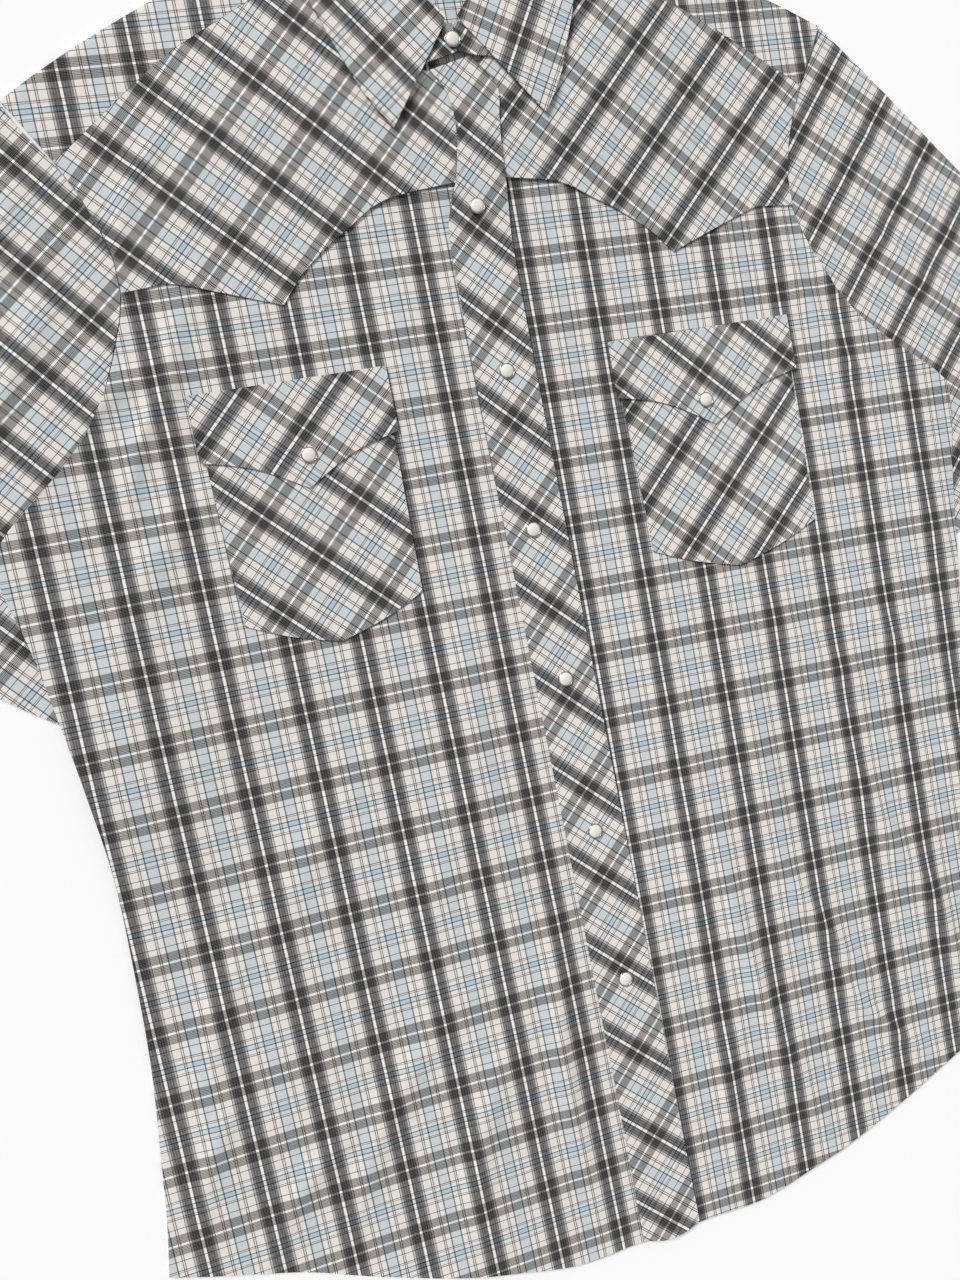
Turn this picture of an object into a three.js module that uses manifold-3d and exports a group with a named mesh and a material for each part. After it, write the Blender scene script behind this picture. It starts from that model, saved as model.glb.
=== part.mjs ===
// Western shirt with short sleeves, laid flat on a table with its front up.
// X runs across the shirt, +Y runs up towards the collar and +Z is up from the table, in millimetres.
// Every cloth piece is a thin wall whose under face follows one shared stack of layers, so each piece
// lies on the one below it with a small gap, and the folds of the front lift all the pieces together.

import * as THREE from 'three';
import * as BufferGeometryUtils from 'three/addons/utils/BufferGeometryUtils.js';
import Module from 'manifold-3d';

const wasm = await Module();
wasm.setup();

// ---- driving dimensions, mm -------------------------------------------------------------------

const CLOTH = 1.0;              // wall of one layer of cloth
const GAP = 0.3;                // air between two layers or beside a seam
const LAYER = CLOTH + GAP;      // height of one layer in the stack
const SPREAD = 0.14;            // extra share of a lift that each higher layer takes
const EARLY = 14;               // how much sooner each higher layer starts to rise over something
const CENTRE_LAP = 10.5;        // x where the two fronts meet under the placket
const ORIGIN_Y = 262.6;         // distance from the table frame's origin up to the top front snap

// The armhole seam of the wearer's right side, from the shoulder point down to the armpit.
const ARMHOLE = [
  { x: -268, y: 93 }, { x: -262, y: 81 }, { x: -253, y: 67 }, { x: -245, y: 55 },
  { x: -236, y: 37 }, { x: -228, y: 15 }, { x: -224, y: -4 }, { x: -224, y: -24 },
  { x: -228, y: -39 }, { x: -236, y: -59 }, { x: -247, y: -83 }, { x: -262, y: -104 },
  { x: -280, y: -122 }, { x: -299, y: -138 }, { x: -315, y: -151 }, { x: -324, y: -161 },
];
const SHOULDER_END = 3;         // row of the armhole where the shoulder seam ends
const YOKE_END = 7;             // row of the armhole where the yoke ends

// The side seam from the armpit to the hem: how far each side stands from the centre front.
const SIDE = [
  { y: -161, right: 324, left: 321 }, { y: -172, right: 327, left: 321 },
  { y: -190, right: 326, left: 319 }, { y: -221, right: 319, left: 314 },
  { y: -279, right: 311, left: 307 }, { y: -325, right: 306, left: 302 },
  { y: -368, right: 303, left: 300 }, { y: -421, right: 304, left: 301 },
  { y: -485, right: 307, left: 304 }, { y: -540, right: 313, left: 309 },
  { y: -588, right: 319, left: 315 }, { y: -622, right: 325, left: 320 },
];

// The shirttail hem from the side seam to the centre front.
const HEM = [
  { x: 322, y: -622 }, { x: 300, y: -630 }, { x: 246, y: -647 }, { x: 200, y: -667 },
  { x: 150, y: -686 }, { x: 110, y: -697 }, { x: 70, y: -706 }, { x: 30, y: -706 }, { x: 10, y: -707 },
];

// The folded top of the shoulders, from the neck out to the shoulder point.
const SHOULDER_TOP = [
  { x: 0, y: 166 }, { x: 40, y: 166 }, { x: 80, y: 165 }, { x: 110, y: 161 }, { x: 140, y: 154 },
  { x: 172, y: 142 }, { x: 203, y: 128 }, { x: 235, y: 112 }, { x: 267, y: 93.5 },
];

// The shoulder seam on the front, where the back yoke that wraps forward meets the front yoke.
const SHOULDER_SEAM = [
  { x: 62, y: 156 }, { x: 109, y: 138 }, { x: 148, y: 120 }, { x: 172, y: 108 },
  { x: 206, y: 84 }, { x: 226, y: 69 }, { x: 245, y: 55 },
];

// The pointed lower edge of the front yoke, from the placket to the armhole.
const YOKE_EDGE = [
  [{ x: 10, y: 18 }, { x: 40, y: 14 }, { x: 62, y: 9 }, { x: 82, y: -3 }, { x: 98, y: -13 },
    { x: 116, y: -27 }, { x: 131, y: -44 }],
  [{ x: 131, y: -44 }, { x: 148, y: -38 }, { x: 168, y: -31 }, { x: 186, y: -25 }, { x: 198, y: -22 },
    { x: 210, y: -23 }, { x: 224, y: -24 }],
];

// The front neckline, from the shoulder seam down to the centre front, under the stand.
const NECKLINE = [{ x: 62, y: 156 }, { x: 52, y: 130 }, { x: 38, y: 106 }, { x: 22, y: 88 }, { x: 10, y: 82 }];

// The lower edge of the back yoke, from the centre back out to the armhole.
const BACK_YOKE_EDGE = [{ x: 0, y: -8 }, { x: 60, y: 8 }, { x: 120, y: 22 }, { x: 180, y: 26 }, { x: 229, y: 20 }];

// The sleeve of the wearer's right arm: fold along the top, hem, and underarm seam.
const SLEEVE_TOP = [{ x: -268, y: 93 }, { x: -310, y: 45 }, { x: -366, y: -22 }, { x: -418, y: -84 }, { x: -454, y: -127 }];
const SLEEVE_HEM = [{ x: -454, y: -127 }, { x: -418, y: -168 }, { x: -380, y: -211 }, { x: -342, y: -247 }, { x: -299, y: -280 }];
const UNDERARM = [{ x: -324, y: -161 }, { x: -312, y: -220 }, { x: -299, y: -280 }];

// The bias placket: its two long edges, with the curl at the neck.
const PLACKET = [
  { yl: 85, left: -12, yr: 91.5, right: 15 }, { yl: 73, left: -5, yr: 72, right: 29 },
  { yl: 60, left: -2, yr: 52, right: 27 }, { yl: 42, left: -3, yr: 33, right: 25 },
  { yl: 19, left: -8, yr: 14, right: 24 }, { yl: 2, left: -15, yr: -2, right: 23 },
  { yl: -25, left: -19.5, yr: -34, right: 21 }, { yl: -130, left: -20.5, yr: -130, right: 20.5 },
  { yl: -230, left: -20.5, yr: -230, right: 20.5 }, { yl: -330, left: -20.5, yr: -330, right: 20.5 },
  { yl: -430, left: -20.5, yr: -430, right: 20.5 }, { yl: -530, left: -20.5, yr: -530, right: 20.5 },
  { yl: -620, left: -20.5, yr: -620, right: 20.5 }, { yl: -704, left: -21.5, yr: -704, right: 20.5 },
];
const PLACKET_DIP = 6;          // how far the placket's foot bows down in the middle

// The collar leaf as a band round the neck: roll line and outer edge at each station.
const LEAF = [
  { rx: 2, ry: 111, ox: -42, oy: 52 }, { rx: 4, ry: 116, ox: -50, oy: 63 },
  { rx: -8, ry: 130, ox: -58, oy: 77 }, { rx: -26, ry: 148, ox: -71, oy: 110 },
  { rx: -38, ry: 163, ox: -82, oy: 140 }, { rx: -45, ry: 175, ox: -92, oy: 171 },
];
const LEAF_BACK = [
  { rx: -45, ry: 175, ox: -92, oy: 171 }, { rx: -34, ry: 160, ox: -78, oy: 136 },
  { rx: -16, ry: 145, ox: -46, oy: 104 }, { rx: 8, ry: 138, ox: 8, oy: 92 },
];
const COLLAR_CENTRE = 8;        // x about which the collar is laid
const LEAF_TOP_TURN = 9;        // how far the fold of the leaf stands out past its last station
const STAND_TOP_TURN = 6.5;     // the same for the stand, inside the leaf

// The collar stand, under the leaf: upper edge and neckline seam at each station.
const STAND = [
  { ux: 7.7, uy: 112, lx: 7.7, ly: 95 }, { ux: 2, uy: 113, lx: -2, ly: 92 }, { ux: -3, uy: 117, lx: -14, ly: 90 },
  { ux: -12, uy: 129, lx: -28, ly: 108 }, { ux: -30, uy: 147, lx: -46, ly: 130 },
  { ux: -47, uy: 173, lx: -66, ly: 170 },
];
const STAND_BACK = [
  { ux: -47, uy: 173, lx: -66, ly: 170 }, { ux: -36, uy: 158, lx: -54, ly: 138 },
  { ux: -18, uy: 144, lx: -26, ly: 117 }, { ux: 8, uy: 137, lx: 8, ly: 108 },
];

// The pockets: flat width and height, place of the top inner corner, and the point at the foot.
const POCKETS = [
  { side: 'right', left: -198, right: -79, top: -92, bottom: -234, point: -255, flap: -157, flapEnd: -131 },
  { side: 'left', left: 75, right: 202, top: -99, bottom: -239, point: -260, flap: -162, flapEnd: -134 },
];
const FLAP_PROUD = 2.5;         // how much wider than the pocket each end of the flap is

// The snaps: height of each one on the placket, and the size of a cap.
const SNAP_ROW = [{ y: 0, x: 2 }, { y: -105, x: 1 }, { y: -209, x: -2 }, { y: -310, x: 0 }, { y: -415, x: 0 }, { y: -520, x: 1 }];
const SNAP_RADIUS = 5.1;
const SNAP_RISE = 2.4;
const RING_WIDTH = 0.7;
const RING_RISE = 0.9;
const SNAP_SIDES = 14;

// Broad soft swells of the front, which lie clear of the back.
const SWELLS = [
  { x: -95, y: -560, turn: 78, long: 150, wide: 62, high: 2.4 },
  { x: -235, y: -520, turn: 60, long: 140, wide: 60, high: 2.0 },
  { x: 95, y: -470, turn: 96, long: 170, wide: 62, high: 2.4 },
  { x: 215, y: -400, turn: 110, long: 150, wide: 60, high: 2.4 },
  { x: -265, y: -330, turn: 100, long: 120, wide: 58, high: 1.8 },
  { x: 225, y: -200, turn: 70, long: 90, wide: 58, high: 1.8 },
];

// ---- the stack of layers ----------------------------------------------------------------------

function smooth(edge0, edge1, value) {
  const t = Math.min(1, Math.max(0, (value - edge0) / (edge1 - edge0)));
  return t * t * (3 - 2 * t);
}

// How far the body is lifted by the corner of each sleeve that is tucked under its side.
function sleeveLift(x, y, level) {
  const along = (y + 161) / (-280 + 161);
  const line = 324 - 25 * Math.min(1, Math.max(0, along));
  const early = EARLY * level;
  const across = smooth(-94 - early, -16, Math.abs(x) - line);
  const below = smooth(-390 - early, -304, y);
  const above = 1 - smooth(-132, -50 + early, y);
  return 2 * LAYER * across * below * above;
}

// How far everything is lifted by the back of the collar, which lies under the back yoke.
function collarLift(x, y, level) {
  const dx = Math.max(0, Math.abs(x - COLLAR_CENTRE) - 92);
  const dy = Math.max(0, 84 - y);
  return 2 * LAYER * (1 - smooth(4, 90 + EARLY * level, Math.hypot(dx, dy)));
}

// The height of the broad swells, which only the layers above the back take.
function swell(x, y) {
  let sum = 0;
  for (const s of SWELLS) {
    const a = THREE.MathUtils.degToRad(s.turn);
    const u = (x - s.x) * Math.cos(a) + (y - s.y) * Math.sin(a);
    const v = -(x - s.x) * Math.sin(a) + (y - s.y) * Math.cos(a);
    sum += s.high * Math.exp(-((u / s.long) ** 2) - ((v / s.wide) ** 2));
  }
  return sum;
}

// The under face of a piece that is `level` layers above the back.
function layerHeight(level, x, y) {
  const lift = sleeveLift(x, y, level) + collarLift(x, y, level);
  const clear = level > 0 ? swell(x, y) : 0;
  return level * LAYER + lift * (1 + SPREAD * level) + clear;
}

// ---- curves and grids -------------------------------------------------------------------------

function mirror(rows) {
  return rows.map((p) => ({ x: -p.x, y: p.y }));
}

// Points at equal steps along a smooth curve through the rows.
function sample(rows, steps) {
  const curve = new THREE.SplineCurve(rows.map((p) => new THREE.Vector2(p.x, p.y)));
  curve.arcLengthDivisions = 400;
  return curve.getSpacedPoints(steps);
}

// Several curves end to end as one edge, each with its own number of steps, or its own rows with 0.
function edge(...runs) {
  const points = [];
  for (const [rows, steps] of runs) {
    const part = steps ? sample(rows, steps) : rows;
    points.push(...(points.length ? part.slice(1) : part));
  }
  return points;
}

// A grid of plan points between four edges, blended so that it keeps all four of them.
function patch(low, high, start, end) {
  const grid = [];
  const n = low.length - 1;
  const m = start.length - 1;
  for (let i = 0; i <= n; i++) {
    const u = i / n;
    const column = [];
    for (let j = 0; j <= m; j++) {
      const v = j / m;
      const blend = (axis) =>
        (1 - v) * low[i][axis] + v * high[i][axis] + (1 - u) * start[j][axis] + u * end[j][axis]
        - (1 - u) * (1 - v) * low[0][axis] - u * (1 - v) * low[n][axis]
        - (1 - u) * v * high[0][axis] - u * v * high[n][axis];
      column.push({ x: blend('x'), y: blend('y') });
    }
    grid.push(column);
  }
  return grid;
}

function geometryFrom(points, faces) {
  const geometry = new THREE.BufferGeometry();
  geometry.setAttribute('position', new THREE.Float32BufferAttribute(points.flat(), 3));
  geometry.setIndex(faces.flat());
  return geometry;
}

function signedVolume(points, faces) {
  let sum = 0;
  for (const [a, b, c] of faces) {
    const p = points[a];
    const q = points[b];
    const r = points[c];
    sum += p[0] * (q[1] * r[2] - q[2] * r[1]) - p[1] * (q[0] * r[2] - q[2] * r[0]) + p[2] * (q[0] * r[1] - q[1] * r[0]);
  }
  return sum;
}

// A closed solid between two equal grids of points; the rims are closed by walls.
function shell(under, over) {
  const n = under.length - 1;
  const m = under[0].length - 1;
  const points = [...under.flat(), ...over.flat()];
  const half = (n + 1) * (m + 1);
  const at = (i, j, top) => i * (m + 1) + j + (top ? half : 0);
  let faces = [];
  const quad = (a, b, c, d) => faces.push([a, b, c], [a, c, d]);
  for (let i = 0; i < n; i++) {
    for (let j = 0; j < m; j++) {
      quad(at(i, j, true), at(i + 1, j, true), at(i + 1, j + 1, true), at(i, j + 1, true));
      quad(at(i, j, false), at(i, j + 1, false), at(i + 1, j + 1, false), at(i + 1, j, false));
    }
  }
  for (let i = 0; i < n; i++) {
    quad(at(i, 0, false), at(i + 1, 0, false), at(i + 1, 0, true), at(i, 0, true));
    quad(at(i, m, true), at(i + 1, m, true), at(i + 1, m, false), at(i, m, false));
  }
  for (let j = 0; j < m; j++) {
    quad(at(0, j, true), at(0, j + 1, true), at(0, j + 1, false), at(0, j, false));
    quad(at(n, j, false), at(n, j + 1, false), at(n, j + 1, true), at(n, j, true));
  }
  if (signedVolume(points, faces) < 0) faces = faces.map(([a, b, c]) => [a, c, b]);
  return geometryFrom(points, faces);
}

// A flat-lying panel: the plan grid as a wall whose under face follows the stack.
function panel(grid, level) {
  const height = typeof level === 'function' ? level : () => level;
  const lay = (p, up) => [p.x, p.y, layerHeight(height(p.x, p.y), p.x, p.y) + up];
  return shell(grid.map((c) => c.map((p) => lay(p, 0))), grid.map((c) => c.map((p) => lay(p, CLOTH))));
}

// ---- materials --------------------------------------------------------------------------------

function cloth(color) {
  return new THREE.MeshStandardMaterial({ color, roughness: 0.92, metalness: 0 });
}

const plaid = cloth('#c9c6c0');
const plaidBias = cloth('#b7b6b2');
const pearl = new THREE.MeshStandardMaterial({ color: '#e6e3da', roughness: 0.22, metalness: 0 });
const steel = new THREE.MeshStandardMaterial({ color: '#b9b8b2', roughness: 0.28, metalness: 1 });

const shirt = new THREE.Group();
shirt.name = 'western_shirt';

function add(name, geometry, material) {
  const mesh = new THREE.Mesh(geometry, material);
  mesh.name = name;
  shirt.add(mesh);
  return mesh;
}

// ---- body -------------------------------------------------------------------------------------

// The armhole seam of one side, from a row of the table on; the armpits differ a little.
function armholeRows(sign, column, from, to) {
  const jump = SIDE[0][column] + ARMHOLE[ARMHOLE.length - 1].x;
  return ARMHOLE.slice(from, to).map((p) => ({ x: sign * (jump * smooth(0, SIDE[0].y, p.y) - p.x), y: p.y }));
}

// The outer edge of the body: the armhole seam, then the side seam down to the hem.
function bodySide(sign, column, from, steps) {
  const seam = SIDE.map((p) => ({ x: sign * p[column], y: p.y }));
  return edge([armholeRows(sign, column, from), 0], [seam, steps]);
}

function hemFor(sign, column, steps) {
  const rows = HEM.map((p, i) => ({ x: sign * (i === 0 ? SIDE[SIDE.length - 1][column] : p.x), y: p.y }));
  return sample(rows, steps);
}

const FRONT_ACROSS = 10;
const FRONT_ARMHOLE = ARMHOLE.length - 1 - SHOULDER_END;
const FRONT_SIDE = 14;

// One front: it runs from the shoulder seam under the yoke down to the hem.
function front(name, sign, column) {
  const lap = sign < 0 ? CENTRE_LAP : CENTRE_LAP + GAP;
  const side = bodySide(sign, column, SHOULDER_END, FRONT_SIDE);
  const seam = sample(SHOULDER_SEAM.map((p) => ({ x: sign * p.x, y: p.y })), FRONT_ACROSS).reverse();
  const hem = hemFor(sign, column, FRONT_ACROSS);
  hem[FRONT_ACROSS].x = lap;
  const centre = edge(
    [NECKLINE.map((p, i) => ({ x: i === NECKLINE.length - 1 ? lap : sign * p.x, y: p.y })), 3],
    [[{ x: lap, y: 82 }, { x: lap, y: -160 }], FRONT_ARMHOLE - 3],
    [[{ x: lap, y: -160 }, { x: lap, y: -707 }], FRONT_SIDE],
  );
  const grid = patch(side, centre, seam, hem);
  add(name, panel(grid, 1), plaid);
}
front('front_right', -1, 'right');
front('front_left', 1, 'left');

const BACK_ACROSS = 22;

// The back: one piece from side to side, from the back yoke down to the hem.
{
  const across = BACK_ACROSS;
  const side = (sign, column) => bodySide(sign, column, 5, FRONT_SIDE);
  const top = sample([...mirror(BACK_YOKE_EDGE).reverse(), ...BACK_YOKE_EDGE.slice(1)], across)
    .map((p) => ({ x: p.x, y: p.y - GAP }));
  const hemHalf = HEM.slice(0, -1);
  const hemRows = [
    ...hemHalf.map((p, i) => ({ x: -(i === 0 ? 325 : p.x), y: p.y })),
    { x: 0, y: -708 },
    ...[...hemHalf].reverse().map((p, i) => ({ x: i === hemHalf.length - 1 ? 320 : p.x, y: p.y })),
  ];
  const left = side(-1, 'right');
  const right = side(1, 'left');
  left[0] = { x: top[0].x, y: top[0].y };
  right[0] = { x: top[across].x, y: top[across].y };
  add('back', panel(patch(left, right, top, sample(hemRows, across)), 0), plaid);
}

// ---- yokes ------------------------------------------------------------------------------------

function frontYoke(name, sign) {
  const lap = sign < 0 ? CENTRE_LAP : CENTRE_LAP + GAP;
  const seam = SHOULDER_SEAM.map((p) => ({ x: sign * p.x, y: p.y }));
  const neck = NECKLINE.map((p, i) => ({ x: i === NECKLINE.length - 1 ? lap : sign * p.x, y: p.y }));
  const outer = armholeRows(sign, sign < 0 ? 'right' : 'left', SHOULDER_END, YOKE_END + 1);
  const foot = YOKE_EDGE.map((run) => run.map((p) => ({ x: sign * p.x, y: p.y })));
  foot[0][0].x = lap;
  const inner = edge([neck, 2], [[{ x: lap, y: 82 }, { x: lap, y: 18 }], 2]);
  const grid = patch(inner, outer, sample(seam, 8), edge([foot[0], 4], [foot[1], 4]));
  add(name, panel(grid, 2), plaidBias);
}
frontYoke('front_yoke_right', -1);
frontYoke('front_yoke_left', 1);

// A piece folded over on itself: each column runs up its lower layer, round the fold and down its upper
// layer. `out` points square out of the fold, and the heights give the under face of each layer.
function folded(columns, lowHeight, highHeight) {
  const turns = 4;
  const under = [];
  const over = [];
  for (const { lower, upper, fold, out } of columns) {
    const low = lowHeight(fold.x, fold.y);
    const half = (highHeight(fold.x, fold.y) + CLOTH - low) / 2;
    const turn = [];
    for (let j = 1; j < turns; j++) {
      const a = -Math.PI / 2 + Math.PI * j / turns;
      const at = (r) => [
        fold.x + out.x * (r * Math.cos(a) - half), fold.y + out.y * (r * Math.cos(a) - half), low + half + r * Math.sin(a),
      ];
      turn.push({ outside: at(half), inside: at(half - CLOTH) });
    }
    const down = lower.map((p) => lowHeight(p.x, p.y));
    const up = upper.map((p) => highHeight(p.x, p.y));
    over.push([
      ...lower.map((p, i) => [p.x, p.y, down[i]]), ...turn.map((t) => t.outside),
      ...upper.map((p, i) => [p.x, p.y, up[i] + CLOTH]),
    ]);
    under.push([
      ...lower.map((p, i) => [p.x, p.y, down[i] + CLOTH]), ...turn.map((t) => t.inside),
      ...upper.map((p, i) => [p.x, p.y, up[i]]),
    ]);
  }
  return shell(under, over);
}

const FOLD_INSET = 3;           // how far the flat layers stop short of a fold

function towards(from, to, t) {
  return { x: from.x + (to.x - from.x) * t, y: from.y + (to.y - from.y) * t };
}

// The back yoke lies under the fronts and wraps forward over both shoulders to the shoulder seams.
function backYoke() {
  const backRows = 5;
  const frontRows = 2;
  const bow = 4;
  const whole = (rows) => [...mirror(rows).reverse(), ...rows.slice(rows[0].x === 0 ? 1 : 0)];
  const low = sample(whole(BACK_YOKE_EDGE), BACK_ACROSS);
  const top = sample(whole(SHOULDER_TOP), BACK_ACROSS);
  const seam = sample(whole(SHOULDER_SEAM), BACK_ACROSS).map((p) => ({ x: p.x, y: p.y + GAP }));
  const columns = top.map((fold, i) => {
    const lower = [];
    for (let j = 0; j <= backRows; j++) {
      const t = 0.97 * j / backRows;
      const p = towards(low[i], fold, t);
      lower.push({ x: p.x - bow * Math.sin(Math.PI * t) * (low[i].x / BACK_YOKE_EDGE[4].x) ** 3, y: p.y });
    }
    const upper = [];
    for (let j = 0; j <= frontRows; j++) upper.push(towards(fold, seam[i], 0.1 + 0.9 * j / frontRows));
    return { lower, upper, fold, out: { x: 0, y: 1 } };
  });
  return folded(columns, (x, y) => layerHeight(0, x, y), (x, y) => layerHeight(2, x, y));
}

function solidOf(geometry) {
  const bare = geometry.clone();
  bare.deleteAttribute('normal');
  bare.deleteAttribute('uv');
  const merged = BufferGeometryUtils.mergeVertices(bare, 1e-4);
  return new wasm.Manifold(new wasm.Mesh({
    numProp: 3,
    vertProperties: new Float32Array(merged.getAttribute('position').array),
    triVerts: new Uint32Array(merged.getIndex().array),
  }));
}

function geometryOf(solid) {
  const mesh = solid.getMesh();
  const geometry = new THREE.BufferGeometry();
  geometry.setAttribute('position', new THREE.BufferAttribute(new Float32Array(mesh.vertProperties), 3));
  geometry.setIndex(new THREE.BufferAttribute(new Uint32Array(mesh.triVerts), 1));
  return geometry;
}

// A straight-sided block over a plan outline, used to cut the neck out of the yoke.
function block(rows, low, high) {
  const shape = new THREE.Shape(rows.map((p) => new THREE.Vector2(p.x, p.y)));
  const geometry = new THREE.ExtrudeGeometry(shape, { depth: high - low, bevelEnabled: false, steps: 1 });
  geometry.translate(0, 0, low);
  return geometry;
}

{
  const whole = solidOf(backYoke());
  const neckFront = [
    { x: -74, y: 60 }, { x: 90, y: 60 }, { x: 90, y: 200 }, { x: -74, y: 200 },
  ];
  const neckBack = sample([
    { x: -66, y: 200 }, { x: -58, y: 168 }, { x: -40, y: 150 }, { x: -18, y: 138 }, { x: 8, y: 133 },
    { x: 34, y: 138 }, { x: 56, y: 150 }, { x: 74, y: 168 }, { x: 82, y: 200 },
  ], 14);
  const middle = 2 * LAYER + CLOTH + GAP;
  const cut = whole.subtract(solidOf(block(neckFront, middle, 40))).subtract(solidOf(block(neckBack, -5, 40)));
  add('back_yoke', geometryOf(cut), plaid);
}

// ---- sleeves ----------------------------------------------------------------------------------

const SEAM_GAP = 0.6;           // how far the sleeve's open end stays from the armhole edge of the body
const UNDERARM_STEPS = 3;
const SLEEVE_PUFF = 1.4;        // how far the upper layer of the sleeve stands off the lower one

// Moves a row of points sideways, square to the row.
function stepAside(row, distance) {
  return row.map((p, i) => {
    const a = row[Math.max(0, i - 1)];
    const b = row[Math.min(row.length - 1, i + 1)];
    const long = Math.hypot(b.x - a.x, b.y - a.y);
    return { x: p.x + distance * (b.y - a.y) / long, y: p.y - distance * (b.x - a.x) / long };
  });
}

// A sleeve is one piece, folded along its top; its two edges meet at the underarm seam, which the body
// covers. The open end follows the armhole from the shoulder round to the armpit.
function sleeve(name, sign, column) {
  const armhole = stepAside(armholeRows(-1, column, 0), SEAM_GAP);
  const jump = SIDE[0][column] + ARMHOLE[ARMHOLE.length - 1].x;
  const inward = (rows) => rows.map((p) => ({ x: p.x - jump * smooth(SLEEVE_HEM[0].x, UNDERARM[0].x, p.x), y: p.y }));
  const under = edge([[armhole[armhole.length - 1], ...inward(UNDERARM.slice(1))], UNDERARM_STEPS]);
  const lowerEdge = [...armhole.slice(YOKE_END), ...under.slice(1)];
  const stations = lowerEdge.length - 1;
  const grid = patch(sample(SLEEVE_TOP, stations), lowerEdge, armhole.slice(0, YOKE_END + 1), sample(inward(SLEEVE_HEM), YOKE_END));
  const puff = (x, y) => {
    const far = smooth(0, 60, -x - 0.75 * y - 131) * smooth(0, 70, -0.76 * x + 0.65 * y - 143);
    return SLEEVE_PUFF * far * smooth(0, 70, -x - 330);
  };
  const columns = grid.map((row, i) => {
    const a = row[0];
    const before = grid[Math.max(0, i - 1)][0];
    const after = grid[Math.min(stations, i + 1)][0];
    const long = Math.hypot(after.x - before.x, after.y - before.y);
    const out = { x: (after.y - before.y) / long, y: -(after.x - before.x) / long };
    const inset = towards(a, row[1], FOLD_INSET / Math.hypot(row[1].x - a.x, row[1].y - a.y));
    const layer = [inset, ...row.slice(1)];
    return { lower: [...layer].reverse(), upper: layer, fold: a, out };
  });
  const placed = columns.map((c) => ({
    lower: c.lower.map((p) => ({ x: -sign * p.x, y: p.y })),
    upper: c.upper.map((p) => ({ x: -sign * p.x, y: p.y })),
    fold: { x: -sign * c.fold.x, y: c.fold.y },
    out: { x: -sign * c.out.x, y: c.out.y },
  }));
  add(name, folded(placed, () => 0, (x, y) => LAYER + puff(-Math.abs(x), y)), plaid);
}
sleeve('sleeve_right', -1, 'right');
sleeve('sleeve_left', 1, 'left');

// ---- placket, pockets and flaps ---------------------------------------------------------------

function placketLevel(x, y) {
  return 2 + smooth(-14, 20, y);
}

{
  const across = 3;
  const steps = 26;
  const left = sample(PLACKET.map((p) => ({ x: p.left, y: p.yl })), steps);
  const right = sample(PLACKET.map((p) => ({ x: p.right, y: p.yr })), steps);
  const grid = left.map((p, j) => {
    const row = [];
    for (let i = 0; i <= across; i++) {
      const u = i / across;
      const dip = PLACKET_DIP * 4 * u * (1 - u) * smooth(0.93, 1, j / steps);
      row.push({ x: p.x + (right[j].x - p.x) * u, y: p.y + (right[j].y - p.y) * u - dip });
    }
    return row;
  });
  add('placket', panel(grid, placketLevel), plaidBias);
}

for (const p of POCKETS) {
  const middle = (p.left + p.right) / 2;
  const taper = 3;
  const foot = edge(
    [[{ x: p.left + taper, y: p.bottom }, { x: (p.left + middle) / 2, y: p.bottom - 12 }, { x: middle, y: p.point }], 3],
    [[{ x: middle, y: p.point }, { x: (p.right + middle) / 2, y: p.bottom - 12 }, { x: p.right - taper, y: p.bottom }], 3],
  );
  const body = patch(
    sample([{ x: p.left, y: p.top }, { x: p.left + taper, y: p.bottom }], 5),
    sample([{ x: p.right, y: p.top }, { x: p.right - taper, y: p.bottom }], 5),
    sample([{ x: p.left, y: p.top }, { x: p.right, y: p.top }], 6),
    foot,
  );
  add(`pocket_${p.side}`, panel(body, 2), plaidBias);
  const l = p.left - FLAP_PROUD;
  const r = p.right + FLAP_PROUD;
  const flapFoot = edge(
    [[{ x: l, y: p.flapEnd }, { x: (l + middle) / 2, y: p.flapEnd - 9 }, { x: middle, y: p.flap }], 3],
    [[{ x: middle, y: p.flap }, { x: (r + middle) / 2, y: p.flapEnd - 9 }, { x: r, y: p.flapEnd }], 3],
  );
  const flap = patch(
    sample([{ x: l, y: p.top + 2 }, { x: l, y: p.flapEnd }], 3),
    sample([{ x: r, y: p.top + 2 }, { x: r, y: p.flapEnd }], 3),
    sample([{ x: l, y: p.top + 2 }, { x: r, y: p.top + 2 }], 6),
    flapFoot,
  );
  add(`flap_${p.side}`, panel(flap, 3), plaidBias);
}

// ---- collar -----------------------------------------------------------------------------------

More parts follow.
